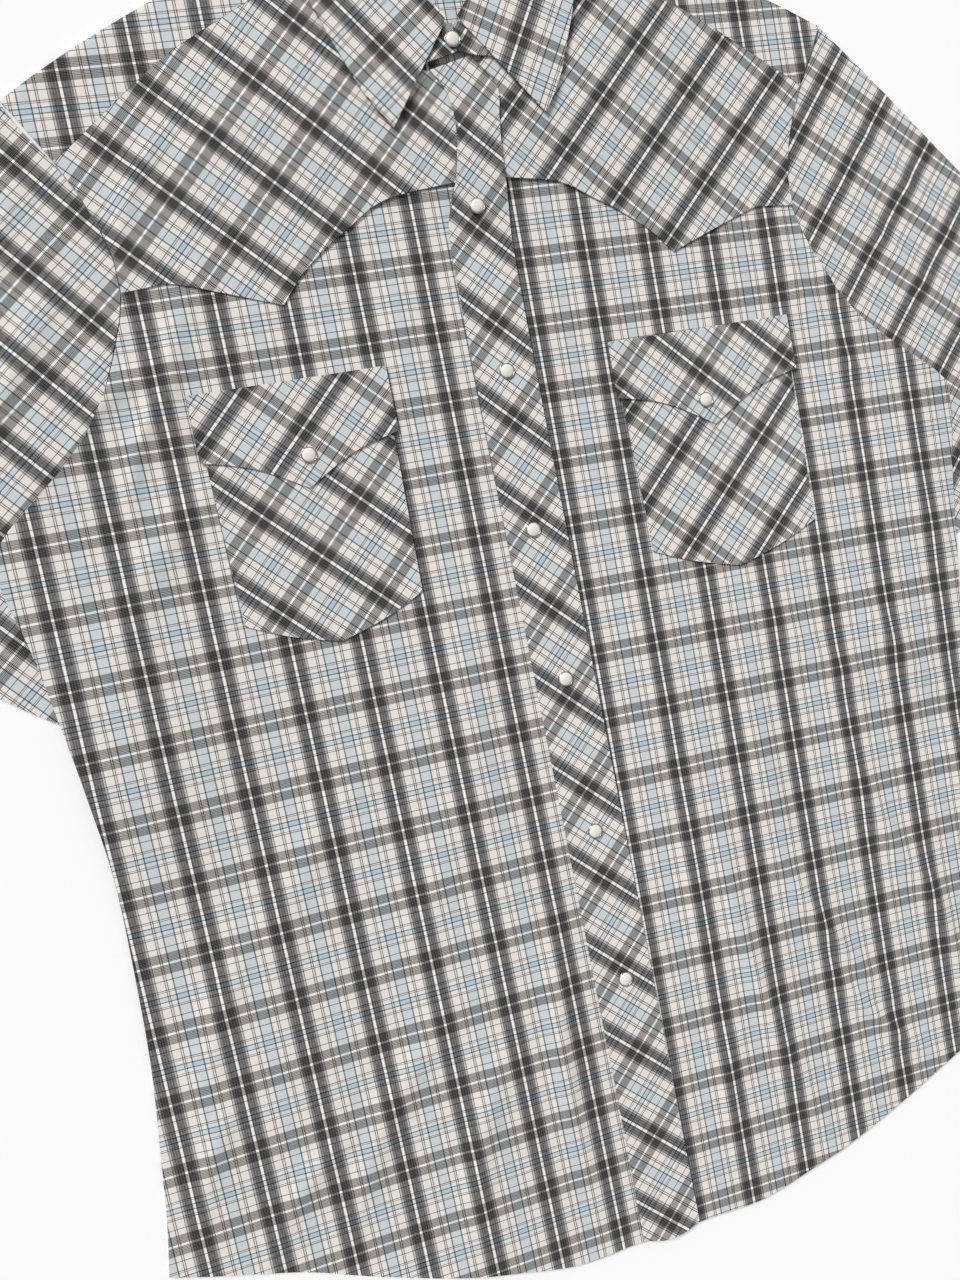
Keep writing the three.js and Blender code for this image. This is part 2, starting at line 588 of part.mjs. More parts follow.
// A collar band from its stations: front half, turn over the shoulder, back half, and the same again.
function band(frontRows, backRows, keys, level, backLevel, turn, across) {
  const [ix, iy, ox, oy] = keys;
  const stations = [];
  const flip = (row) => ({ ...row, [ix]: 2 * COLLAR_CENTRE - row[ix], [ox]: 2 * COLLAR_CENTRE - row[ox] });
  const points = (rows) => rows.map((row) => {
    const line = [];
    for (let i = 0; i <= across; i++) {
      const u = i / across;
      line.push({ x: row[ix] + (row[ox] - row[ix]) * u, y: row[iy] + (row[oy] - row[iy]) * u });
    }
    return line;
  });
  const lay = (line, lev, up) => line.map((p) => {
    const z = lev >= 0 ? layerHeight(lev, p.x, p.y) : backLevel * LAYER;
    return { over: [p.x, p.y, z + (up ? CLOTH : 0)], under: [p.x, p.y, z + (up ? 0 : CLOTH)] };
  });
  const turnLines = (line) => {
    const lines = [];
    for (let k = 1; k < 6; k++) {
      const a = Math.PI / 2 - Math.PI * k / 6;
      lines.push(line.map((p) => {
        const low = backLevel * LAYER;
        const half = (layerHeight(level, p.x, p.y) + CLOTH - low) / 2;
        const reach = turn / half;
        const place = (r) => [p.x, p.y + reach * r * Math.cos(a), low + half + r * Math.sin(a)];
        return { over: place(half), under: place(half - CLOTH) };
      }));
    }
    return lines;
  };
  const front = points(frontRows);
  const back = points(backRows);
  const frontOther = points(frontRows.map(flip));
  const backOther = points(backRows.slice(0, -1).map(flip));
  for (const line of front) stations.push(lay(line, level, true));
  stations.push(...turnLines(front[front.length - 1]));
  for (const line of back) stations.push(lay(line, -1, false));
  for (const line of backOther.reverse()) stations.push(lay(line, -1, false));
  stations.push(...turnLines(frontOther[frontOther.length - 1]).reverse());
  for (const line of frontOther.reverse()) stations.push(lay(line, level, true));
  return shell(stations.map((s) => s.map((p) => p.under)), stations.map((s) => s.map((p) => p.over)));
}

add('collar_leaf', band(LEAF, LEAF_BACK, ['rx', 'ry', 'ox', 'oy'], 4, 0, LEAF_TOP_TURN, 3), plaidBias);
add('collar_stand', band(STAND, STAND_BACK, ['ux', 'uy', 'lx', 'ly'], 3, 1, STAND_TOP_TURN, 2), plaidBias);

// ---- snaps ------------------------------------------------------------------------------------

// A pearl cap inside a thin metal ring, standing on the cloth at a point.
function snap(name, x, y, level) {
  const reach = 7;
  const around = [[0, 0], [0, reach], [0, -reach], [reach, 0], [-reach, 0]];
  const base = Math.max(...around.map(([dx, dy]) => layerHeight(level(x + dx, y + dy), x + dx, y + dy))) + CLOTH + GAP;
  const cap = [
    new THREE.Vector2(0, 0), new THREE.Vector2(SNAP_RADIUS - RING_WIDTH - GAP, 0),
    new THREE.Vector2(SNAP_RADIUS - RING_WIDTH - GAP, RING_RISE), new THREE.Vector2(SNAP_RADIUS * 0.66, SNAP_RISE * 0.78),
    new THREE.Vector2(SNAP_RADIUS * 0.3, SNAP_RISE * 0.97), new THREE.Vector2(0, SNAP_RISE),
  ];
  const ring = [
    new THREE.Vector2(SNAP_RADIUS - RING_WIDTH, 0), new THREE.Vector2(SNAP_RADIUS, 0),
    new THREE.Vector2(SNAP_RADIUS, RING_RISE * 0.7), new THREE.Vector2(SNAP_RADIUS - RING_WIDTH / 2, RING_RISE),
    new THREE.Vector2(SNAP_RADIUS - RING_WIDTH, RING_RISE * 0.8), new THREE.Vector2(SNAP_RADIUS - RING_WIDTH, 0),
  ];
  for (const [suffix, profile, material] of [['cap', cap, pearl], ['ring', ring, steel]]) {
    const geometry = new THREE.LatheGeometry(profile, SNAP_SIDES);
    geometry.rotateX(Math.PI / 2);
    geometry.deleteAttribute('normal');
    geometry.deleteAttribute('uv');
    const mesh = add(`${name}_${suffix}`, BufferGeometryUtils.mergeVertices(geometry, 1e-4), material);
    mesh.position.set(x, y, base);
  }
}

const onTop = () => 3;
SNAP_ROW.forEach((s, i) => snap(`snap_front_${i + 1}`, s.x, s.y, placketLevel));
snap('snap_neck', 6, 102, onTop);
snap('snap_pocket_right', -135, -137, onTop);
snap('snap_pocket_left', 134, -145, onTop);

shirt.position.set(0, ORIGIN_Y, 0);

export default shirt;
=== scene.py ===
"""A plaid western shirt, laid flat with its front up: the looks of the part, in metres."""
import logging
import math
from collections.abc import Callable
from dataclasses import dataclass
from enum import Enum
from typing import Any

import bpy
import numpy as np
from mathutils import Matrix


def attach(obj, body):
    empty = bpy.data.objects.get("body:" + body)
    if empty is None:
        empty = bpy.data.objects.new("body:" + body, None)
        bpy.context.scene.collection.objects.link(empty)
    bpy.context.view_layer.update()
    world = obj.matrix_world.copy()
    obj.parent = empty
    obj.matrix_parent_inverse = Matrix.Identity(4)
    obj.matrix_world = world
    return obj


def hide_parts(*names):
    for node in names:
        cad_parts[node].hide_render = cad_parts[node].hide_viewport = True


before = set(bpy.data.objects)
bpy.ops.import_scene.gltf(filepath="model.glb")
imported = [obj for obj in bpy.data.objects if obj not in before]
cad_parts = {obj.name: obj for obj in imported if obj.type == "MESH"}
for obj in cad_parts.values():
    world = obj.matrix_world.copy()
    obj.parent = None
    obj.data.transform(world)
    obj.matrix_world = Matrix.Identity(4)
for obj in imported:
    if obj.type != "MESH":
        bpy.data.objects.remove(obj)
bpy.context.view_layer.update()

LOG = logging.getLogger("shirt")
Level = float | Callable[[np.ndarray, np.ndarray], np.ndarray]
MM = 0.001  # metres in a millimetre
SHARP = math.radians(50.0)  # edges that turn more than this stay sharp

CLOTH = 1.0  # wall of one layer, mm
GAP = 0.3  # air between layers and beside seams, mm
LAYER = CLOTH + GAP
SPREAD = 0.14  # extra share of a lift that each higher layer takes
EARLY = 14.0  # how much sooner each higher layer starts to rise, mm
CENTRE_LAP = 10.5  # where the two fronts meet under the placket, mm
ORIGIN_Y = 262.6  # from the frame's origin up to the top front snap, mm
COLLAR_CENTRE = 8.0  # x about which the collar lies, mm
REPEAT = 44.0  # the plaid's repeat, mm
YOKE_STEP = (-14.0, 20.0)  # heights between which the placket climbs onto the yokes, mm
CURVE_PARTS = 60  # parts that a curve is measured in between two rows


class Side(Enum):
    """The wearer's two sides, with the direction of each in x."""

    RIGHT = -1
    LEFT = 1


def rows(*pairs: tuple[float, float]) -> np.ndarray:
    """Gives plan points as an array."""
    return np.array(pairs, dtype=float)


ARMHOLE = rows(
    (-268, 93), (-262, 81), (-253, 67), (-245, 55), (-236, 37), (-228, 15), (-224, -4), (-224, -24),
    (-228, -39), (-236, -59), (-247, -83), (-262, -104), (-280, -122), (-299, -138), (-315, -151),
    (-324, -161),
)
SHOULDER_END = 3  # row of the armhole where the shoulder seam ends
YOKE_END = 7  # row of the armhole where the yoke ends
SIDE_Y = np.array([-161, -172, -190, -221, -279, -325, -368, -421, -485, -540, -588, -622], dtype=float)
SIDE_X = {
    Side.RIGHT: np.array([324, 327, 326, 319, 311, 306, 303, 304, 307, 313, 319, 325], dtype=float),
    Side.LEFT: np.array([321, 321, 319, 314, 307, 302, 300, 301, 304, 309, 315, 320], dtype=float),
}
HEM = rows((322, -622), (300, -630), (246, -647), (200, -667), (150, -686), (110, -697), (70, -706),
           (30, -706), (10, -707))
SHOULDER_SEAM = rows((62, 156), (109, 138), (148, 120), (172, 108), (206, 84), (226, 69), (245, 55))
YOKE_EDGE = (
    rows((10, 18), (40, 14), (62, 9), (82, -3), (98, -13), (116, -27), (131, -44)),
    rows((131, -44), (148, -38), (168, -31), (186, -25), (198, -22), (210, -23), (224, -24)),
)
NECKLINE = rows((62, 156), (52, 130), (38, 106), (22, 88), (10, 82))
BACK_YOKE_EDGE = rows((0, -8), (60, 8), (120, 22), (180, 26), (229, 20))
SLEEVE_TOP = rows((-268, 93), (-310, 45), (-366, -22), (-418, -84), (-454, -127))
SLEEVE_HEM = rows((-454, -127), (-418, -168), (-380, -211), (-342, -247), (-299, -280))
UNDERARM = rows((-324, -161), (-312, -220), (-299, -280))
PLACKET_LEFT = rows((-12, 85), (-5, 73), (-2, 60), (-3, 42), (-8, 19), (-15, 2), (-19.5, -25), (-20.5, -130),
                    (-20.5, -230), (-20.5, -330), (-20.5, -430), (-20.5, -530), (-20.5, -620), (-21.5, -704))
PLACKET_RIGHT = rows((15, 91.5), (29, 72), (27, 52), (25, 33), (24, 14), (23, -2), (21, -34), (20.5, -130),
                     (20.5, -230), (20.5, -330), (20.5, -430), (20.5, -530), (20.5, -620), (20.5, -704))
LEAF_ROLL = rows((2, 111), (4, 116), (-8, 130), (-26, 148), (-38, 163), (-45, 175))
LEAF_EDGE = rows((-42, 52), (-50, 63), (-58, 77), (-71, 110), (-82, 140), (-92, 171))
LEAF_BACK_ROLL = rows((-45, 175), (-34, 160), (-16, 145), (8, 138))
LEAF_BACK_EDGE = rows((-92, 171), (-78, 136), (-46, 104), (8, 92))
STAND_TOP = rows((7.7, 112), (2, 113), (-3, 117), (-12, 129), (-30, 147), (-47, 173))
STAND_FOOT = rows((7.7, 95), (-2, 92), (-14, 90), (-28, 108), (-46, 130), (-66, 170))
STAND_BACK_TOP = rows((-47, 173), (-36, 158), (-18, 144), (8, 137))
STAND_BACK_FOOT = rows((-66, 170), (-54, 138), (-26, 117), (8, 108))
SWELLS = np.array([
    (-95, -560, 78, 150, 62, 2.4), (-235, -520, 60, 140, 60, 2.0), (95, -470, 96, 170, 62, 2.4),
    (215, -400, 110, 150, 60, 2.4), (-265, -330, 100, 120, 58, 1.8), (225, -200, 70, 90, 58, 1.8),
])  # x, y, turn in degrees, reach along, reach across, height
CREASES = np.array([
    (-262, -95, 38, 46, 7, 2.2), (-232, -112, 62, 38, 6, 1.8), (-206, -70, 74, 42, 8, 1.5),
    (-205, 35, 58, 40, 6, 1.4), (-150, 62, 30, 34, 9, 0.9), (-236, -180, 50, 60, 11, 1.6),
    (-70, -330, 84, 90, 13, 1.1), (-52, -560, 86, 96, 8, 1.9), (-118, -600, 70, 60, 9, 1.6),
    (-170, -560, 52, 74, 10, 1.7), (-226, -586, 40, 52, 8, 1.4), (-262, -470, 66, 60, 10, 1.4),
    (-200, -400, 58, 70, 14, 1.1), (-120, -440, 72, 66, 12, 1.0), (-286, -560, 64, 44, 7, 1.2),
    (262, -92, 142, 44, 7, 2.1), (236, -120, 120, 40, 6, 1.7), (214, -66, 106, 36, 8, 1.3),
    (206, 30, 124, 36, 7, 1.1), (60, -300, 92, 80, 12, 1.0), (96, -560, 100, 92, 8, 2.0),
    (150, -520, 118, 70, 7, 1.9), (180, -600, 128, 52, 6, 1.7), (214, -470, 112, 78, 9, 1.9),
    (250, -560, 106, 66, 7, 1.6), (128, -400, 96, 70, 10, 1.3), (240, -330, 122, 64, 9, 1.5),
    (62, -470, 88, 64, 7, 1.2), (280, -440, 98, 50, 8, 1.3), (180, -330, 132, 56, 9, 1.2),
    (60, -620, 82, 44, 7, 1.3), (286, -250, 104, 60, 9, 1.3), (60, -60, 100, 44, 10, 0.7),
    (-60, -60, 82, 44, 10, 0.7),
])  # x, y, turn in degrees, reach along, reach across, height
CREASE_SHARE = 1.4  # how much of their height the creases take
SLEEVE_CREASES = np.array([
    (300, 0, 128, 60, 7, 1.8), (340, -60, 130, 70, 8, 1.6), (300, -70, 122, 54, 6, 1.9),
    (352, -130, 134, 60, 9, 1.5), (390, -110, 126, 56, 8, 1.3), (326, -180, 120, 44, 7, 1.4),
    (270, -30, 116, 34, 6, 1.5), (396, -170, 138, 44, 8, 1.1),
])  # the same on a sleeve, for the left one
BACK_CREASES = np.array([
    (-180, -420, 70, 90, 12, 0.18), (120, -520, 100, 80, 10, 0.2), (40, -250, 86, 110, 14, 0.15),
])  # the same on the back
ARMPIT_X = 324.0  # how far out the armpit is, mm
ARMPIT_Y = -161.0  # height of the armpit, mm
TUCK_DEPTH = 119.0  # how far down the tucked corner of a sleeve reaches, mm
TUCK_INWARD = 25.0  # how far the underarm runs inward over that depth, mm
TUCK_LAYERS = 2.0  # layers of a sleeve or collar that lift what lies on them
TUCK_ACROSS = (-94.0, -16.0)  # where the body starts to rise over a sleeve and is up, from its side, mm
TUCK_BELOW = (-390.0, -304.0)  # the same, below the sleeve, mm
TUCK_ABOVE = (-132.0, -50.0)  # the same, above the armpit, mm
COLLAR_HALF = 92.0  # half the width of the collar's back, mm
COLLAR_FOOT = 84.0  # height of its lower edge, mm
COLLAR_RAMP = (4.0, 90.0)  # how far out the rise over the collar starts and ends, mm


def smooth(low: float, high: float, value: np.ndarray) -> np.ndarray:
    """Gives a step from 0 to 1 that starts and ends level.

    Args:
        low: Value at which the step is 0.
        high: Value at which it is 1.
        value: Where to take it.

    Returns:
        3 t squared less 2 t cubed, where t is how far the value is from low to high.
    """
    t = np.clip((value - low) / (high - low), 0.0, 1.0)
    return t * t * (3.0 - 2.0 * t)


def bumps(table: np.ndarray, x: np.ndarray, y: np.ndarray, bow: float = 0.9) -> np.ndarray:
    """Adds up long soft ridges: each is a bell across and a wider bell along its own direction.

    Args:
        table: One row for each ridge: x, y, turn in degrees, reach along, reach across and height.
        x: Plan x, mm.
        y: Plan y, mm.
        bow: How far a ridge has bent sideways at its reach, as a share of its width.

    Returns:
        The height of all ridges together, mm.
    """
    total = np.zeros_like(x, dtype=float)
    for cx, cy, turn, long, wide, high in table:
        a = math.radians(turn)
        u = (x - cx) * math.cos(a) + (y - cy) * math.sin(a)
        v = -(x - cx) * math.sin(a) + (y - cy) * math.cos(a) + (u / long) ** 2 * wide * bow
        total = total + high * np.exp(-((u / long) ** 2) - (v / wide) ** 2)
    return total


def layer_height(level: np.ndarray, x: np.ndarray, y: np.ndarray) -> np.ndarray:
    """Gives the height of the under face of a piece `level` layers above the back.

    Args:
        level: Layers above the back.
        x: Plan x, mm.
        y: Plan y, mm.

    Returns:
        Height above the table, mm.
    """
    level = np.asarray(level, dtype=float) + 0.0 * x
    early = EARLY * level
    line = ARMPIT_X - TUCK_INWARD * np.clip((ARMPIT_Y - y) / TUCK_DEPTH, 0.0, 1.0)
    sleeve = smooth(TUCK_ACROSS[0] - early, TUCK_ACROSS[1], np.abs(x) - line)
    sleeve = sleeve * smooth(TUCK_BELOW[0] - early, TUCK_BELOW[1], y)
    sleeve = sleeve * (1.0 - smooth(TUCK_ABOVE[0], TUCK_ABOVE[1] + early, y))
    beside = np.maximum(0.0, np.abs(x - COLLAR_CENTRE) - COLLAR_HALF)
    out = np.hypot(beside, np.maximum(0.0, COLLAR_FOOT - y))
    collar = 1.0 - smooth(COLLAR_RAMP[0], COLLAR_RAMP[1] + early, out)
    lift = TUCK_LAYERS * LAYER * (sleeve + collar) * (1.0 + SPREAD * level)
    clear = bumps(SWELLS, x, y, bow=0.0) + CREASE_SHARE * bumps(CREASES, x, y)
    return level * LAYER + lift + np.where(level > 0, clear, bumps(BACK_CREASES, x, y))


def placket_level(x: np.ndarray, y: np.ndarray) -> np.ndarray:
    """Gives the placket's level, which rises by one where it lies on the yokes."""
    return 2.0 + smooth(*YOKE_STEP, y) + 0.0 * x


def sample(points: np.ndarray, steps: int) -> np.ndarray:
    """Places points at equal steps along a smooth curve through the rows (uniform Catmull-Rom).

    Args:
        points: Rows that the curve goes through.
        steps: Number of steps.

    Returns:
        steps + 1 points.
    """
    p = np.vstack([points[:1], points, points[-1:]])
    t = np.linspace(0.0, 1.0, CURVE_PARTS, endpoint=False)[:, None]
    runs = []
    for a, b, c, d in zip(p[:-3], p[1:-2], p[2:-1], p[3:]):
        v0 = (c - a) / 2.0
        v1 = (d - b) / 2.0
        runs.append((2 * b - 2 * c + v0 + v1) * t**3 + (-3 * b + 3 * c - 2 * v0 - v1) * t**2 + v0 * t + b)
    line = np.vstack(runs + [points[-1:]])
    return even(line, steps)


def even(line: np.ndarray, steps: int) -> np.ndarray:
    """Places points at equal steps along straight runs between the given points.

    Args:
        line: Points of the line.
        steps: Number of steps.

    Returns:
        steps + 1 points.
    """
    far = np.concatenate([[0.0], np.cumsum(np.hypot(*np.diff(line, axis=0).T))])
    at = np.linspace(0.0, far[-1], steps + 1)
    return np.column_stack([np.interp(at, far, line[:, 0]), np.interp(at, far, line[:, 1])])


def divide(line: np.ndarray, times: int) -> np.ndarray:
    """Divides each straight run between rows into equal parts.

    Args:
        line: Rows.
        times: Number of parts for each run.

    Returns:
        The rows and the points between them.
    """
    old = np.arange(len(line), dtype=float)
    new = np.linspace(0.0, len(line) - 1.0, (len(line) - 1) * times + 1)
    return np.column_stack([np.interp(new, old, line[:, 0]), np.interp(new, old, line[:, 1])])


def join(*runs: np.ndarray) -> np.ndarray:
    """Puts curves end to end, each starting where the last one ends."""
    return np.vstack([runs[0], *[r[1:] for r in runs[1:]]])


def patch(low: np.ndarray, high: np.ndarray, start: np.ndarray, end: np.ndarray) -> np.ndarray:
    """Blends a grid of plan points between four edges (a Coons patch).

    Args:
        low: Edge at v = 0, along u.
        high: Edge at v = 1, along u.
        start: Edge at u = 0, along v.
        end: Edge at u = 1, along v.

    Returns:
        Grid of shape (u, v, 2).
    """
    u = np.linspace(0.0, 1.0, len(low))[:, None, None]
    v = np.linspace(0.0, 1.0, len(start))[None, :, None]
    ruled = (1 - v) * low[:, None] + v * high[:, None] + (1 - u) * start[None] + u * end[None]
    corners = (1 - u) * (1 - v) * low[0] + u * (1 - v) * low[-1] + (1 - u) * v * high[0] + u * v * high[-1]
    return ruled - corners


def quads_of(n: int, m: int) -> np.ndarray:
    """Gives the faces of a closed wall between two grids: outer face, inner face and four rims.

    Args:
        n: Points of a grid along u.
        m: Points of a grid along v.

    Returns:
        Four vertex numbers for each face; the inner grid's come after the outer grid's.
    """
    at = np.arange(n * m).reshape(n, m)
    low = at + n * m
    top = np.stack([at[:-1, :-1], at[1:, :-1], at[1:, 1:], at[:-1, 1:]], -1).reshape(-1, 4)
    foot = np.stack([low[:-1, :-1], low[:-1, 1:], low[1:, 1:], low[1:, :-1]], -1).reshape(-1, 4)
    walls = []
    for near, far in ((at[:, 0], low[:, 0]), (at[::-1, -1], low[::-1, -1]),
                      (at[0, ::-1], low[0, ::-1]), (at[-1, :], low[-1, :])):
        walls.append(np.stack([near[:-1], far[:-1], far[1:], near[1:]], -1))
    return np.vstack([top, foot, *walls])


def make_object(
    name: str, points: np.ndarray, faces: np.ndarray, uv: np.ndarray | None = None
) -> bpy.types.Object:
    """Builds a mesh object from arrays, with its faces turned outward.

    Args:
        name: Name of the object.
        points: Vertices in plan millimetres.
        faces: Four vertex numbers for each face.
        uv: Place of each vertex on the cloth, in metres, or None.

    Returns:
        The new object, linked to the scene.
    """
    place = (points + np.array([0.0, ORIGIN_Y, 0.0])) * MM
    a, b, c, d = (place[faces[:, k]] for k in range(4))
    volume = (a * np.cross(b, c)).sum() + (a * np.cross(c, d)).sum()
    if volume < 0:
        faces = faces[:, ::-1]
    mesh = bpy.data.meshes.new(name)
    mesh.vertices.add(len(place))
    mesh.vertices.foreach_set("co", place.astype(np.float32).ravel())
    mesh.loops.add(faces.size)
    mesh.loops.foreach_set("vertex_index", faces.astype(np.int32).ravel())
    mesh.polygons.add(len(faces))
    mesh.polygons.foreach_set("loop_start", (np.arange(len(faces)) * 4).astype(np.int32))
    mesh.update(calc_edges=True)
    if uv is not None:
        layer = mesh.uv_layers.new(name="cloth")
        layer.data.foreach_set("uv", uv[faces.ravel()].astype(np.float32).ravel())
    mesh.polygons.foreach_set("use_smooth", np.ones(len(faces), dtype=bool))
    mesh.set_sharp_from_angle(angle=SHARP)
    mesh.validate()
    obj = bpy.data.objects.new(name, mesh)
    bpy.context.collection.objects.link(obj)
    return obj


@dataclass(frozen=True)
class Grain:
    """How the plaid lies on a piece: a white warp line and white weft line go through (x, y)."""

    x: float
    y: float
    turn: float

    def uv(self, plan: np.ndarray) -> np.ndarray:
        """Gives each plan point's place on the cloth in metres.

        Args:
            plan: Plan points, mm.

        Returns:
            Distance across the warp and along it, metres.
        """
        a = math.radians(self.turn)
        dx = plan[..., 0] - self.x
        dy = plan[..., 1] - self.y
        across = dx * math.cos(a) + dy * math.sin(a)
        along = -dx * math.sin(a) + dy * math.cos(a)
        return np.stack([across, along], -1) * MM


def wall(name: str, over: np.ndarray, under: np.ndarray, uv: np.ndarray) -> bpy.types.Object:
    """Builds a closed cloth wall between two grids that share their places on the cloth.

    Args:
        name: Name of the object.
        over: Outer grid, mm.
        under: Inner grid, mm.
        uv: Place of each grid point on the cloth, metres.

    Returns:
        The new object.
    """
    n, m = over.shape[:2]
    points = np.vstack([over.reshape(-1, 3), under.reshape(-1, 3)])
    flat = uv.reshape(-1, 2)
    return make_object(name, points, quads_of(n, m), np.vstack([flat, flat]))


def lay(name: str, grid: np.ndarray, level: Level, grain: Grain) -> bpy.types.Object:
    """Lays a panel on the stack: each plan point gets the stack's height, and a wall of one cloth.

    Args:
        name: Name of the object.
        grid: Plan points, mm.
        level: Layers above the back, or a function that gives them.
        grain: How the plaid lies on the panel.

    Returns:
        The new object.
    """
    x, y = grid[..., 0], grid[..., 1]
    height = layer_height(level(x, y) if callable(level) else level, x, y)
    under = np.stack([x, y, height], -1)
    over = under + np.array([0.0, 0.0, CLOTH])
    return wall(name, over, under, grain.uv(grid))


# ---- finishes -----------------------------------------------------------------------------------


def linear(code: str) -> tuple[float, float, float, float]:
    """Turns an sRGB hex colour into linear red, green, blue and alpha."""
    parts = [int(code[i:i + 2], 16) / 255.0 for i in (1, 3, 5)]
    turned = [c / 12.92 if c <= 0.04045 else ((c + 0.055) / 1.055) ** 2.4 for c in parts]
    return (*turned, 1.0)


def node(
    tree: bpy.types.NodeTree,
    kind: str,
    settings: dict[str, Any] | None = None,
    links: dict[str | int, Any] | None = None,
) -> bpy.types.Node:
    """Adds a node with its settings and links.

    Args:
        tree: Node tree.
        kind: Type of the node.
        settings: Attributes of the node, by name.
        links: Values or sockets for its inputs, by name or number.

    Returns:
        The new node.
    """
    new = tree.nodes.new(kind)
    for key, value in (settings or {}).items():
        setattr(new, key, value)
    for key, value in (links or {}).items():
        if isinstance(value, bpy.types.NodeSocket):
            tree.links.new(value, new.inputs[key])
        else:
            new.inputs[key].default_value = value
    return new


# The yarns' colours, and where each band of yarn starts, in mm out from the middle of the white line.
# The bands are the same on both sides of it, out to half a repeat.
INK = {
    "white": "#fbfaf8", "cream": "#efebe7", "char": "#1f2126", "grey": "#77787d", "taupe": "#8b8580",
    "teal": "#3f6270", "blue": "#cfd9df", "dark": "#3c3d42", "light": "#c3beb9", "black": "#1b1c20",
}
WARP = ((0.0, "white"), (0.8, "char"), (2.2, "grey"), (2.5, "char"), (3.8, "taupe"), (4.1, "char"),
        (5.2, "grey"), (6.0, "dark"), (6.6, "light"), (7.6, "dark"), (8.0, "cream"), (13.0, "black"),
        (13.5, "cream"), (14.3, "black"), (14.8, "cream"), (18.0, "teal"), (18.9, "blue"))
WEFT = ((0.0, "white"), (0.7, "char"), (1.2, "light"), (1.6, "char"), (2.1, "light"), (2.5, "char"),
        (3.0, "light"), (3.4, "char"), (3.9, "light"), (4.2, "taupe"), (6.5, "cream"), (10.0, "teal"),
        (10.5, "cream"), (16.0, "grey"), (16.6, "cream"), (17.2, "grey"), (17.7, "cream"), (20.0, "teal"),
        (20.7, "blue"))


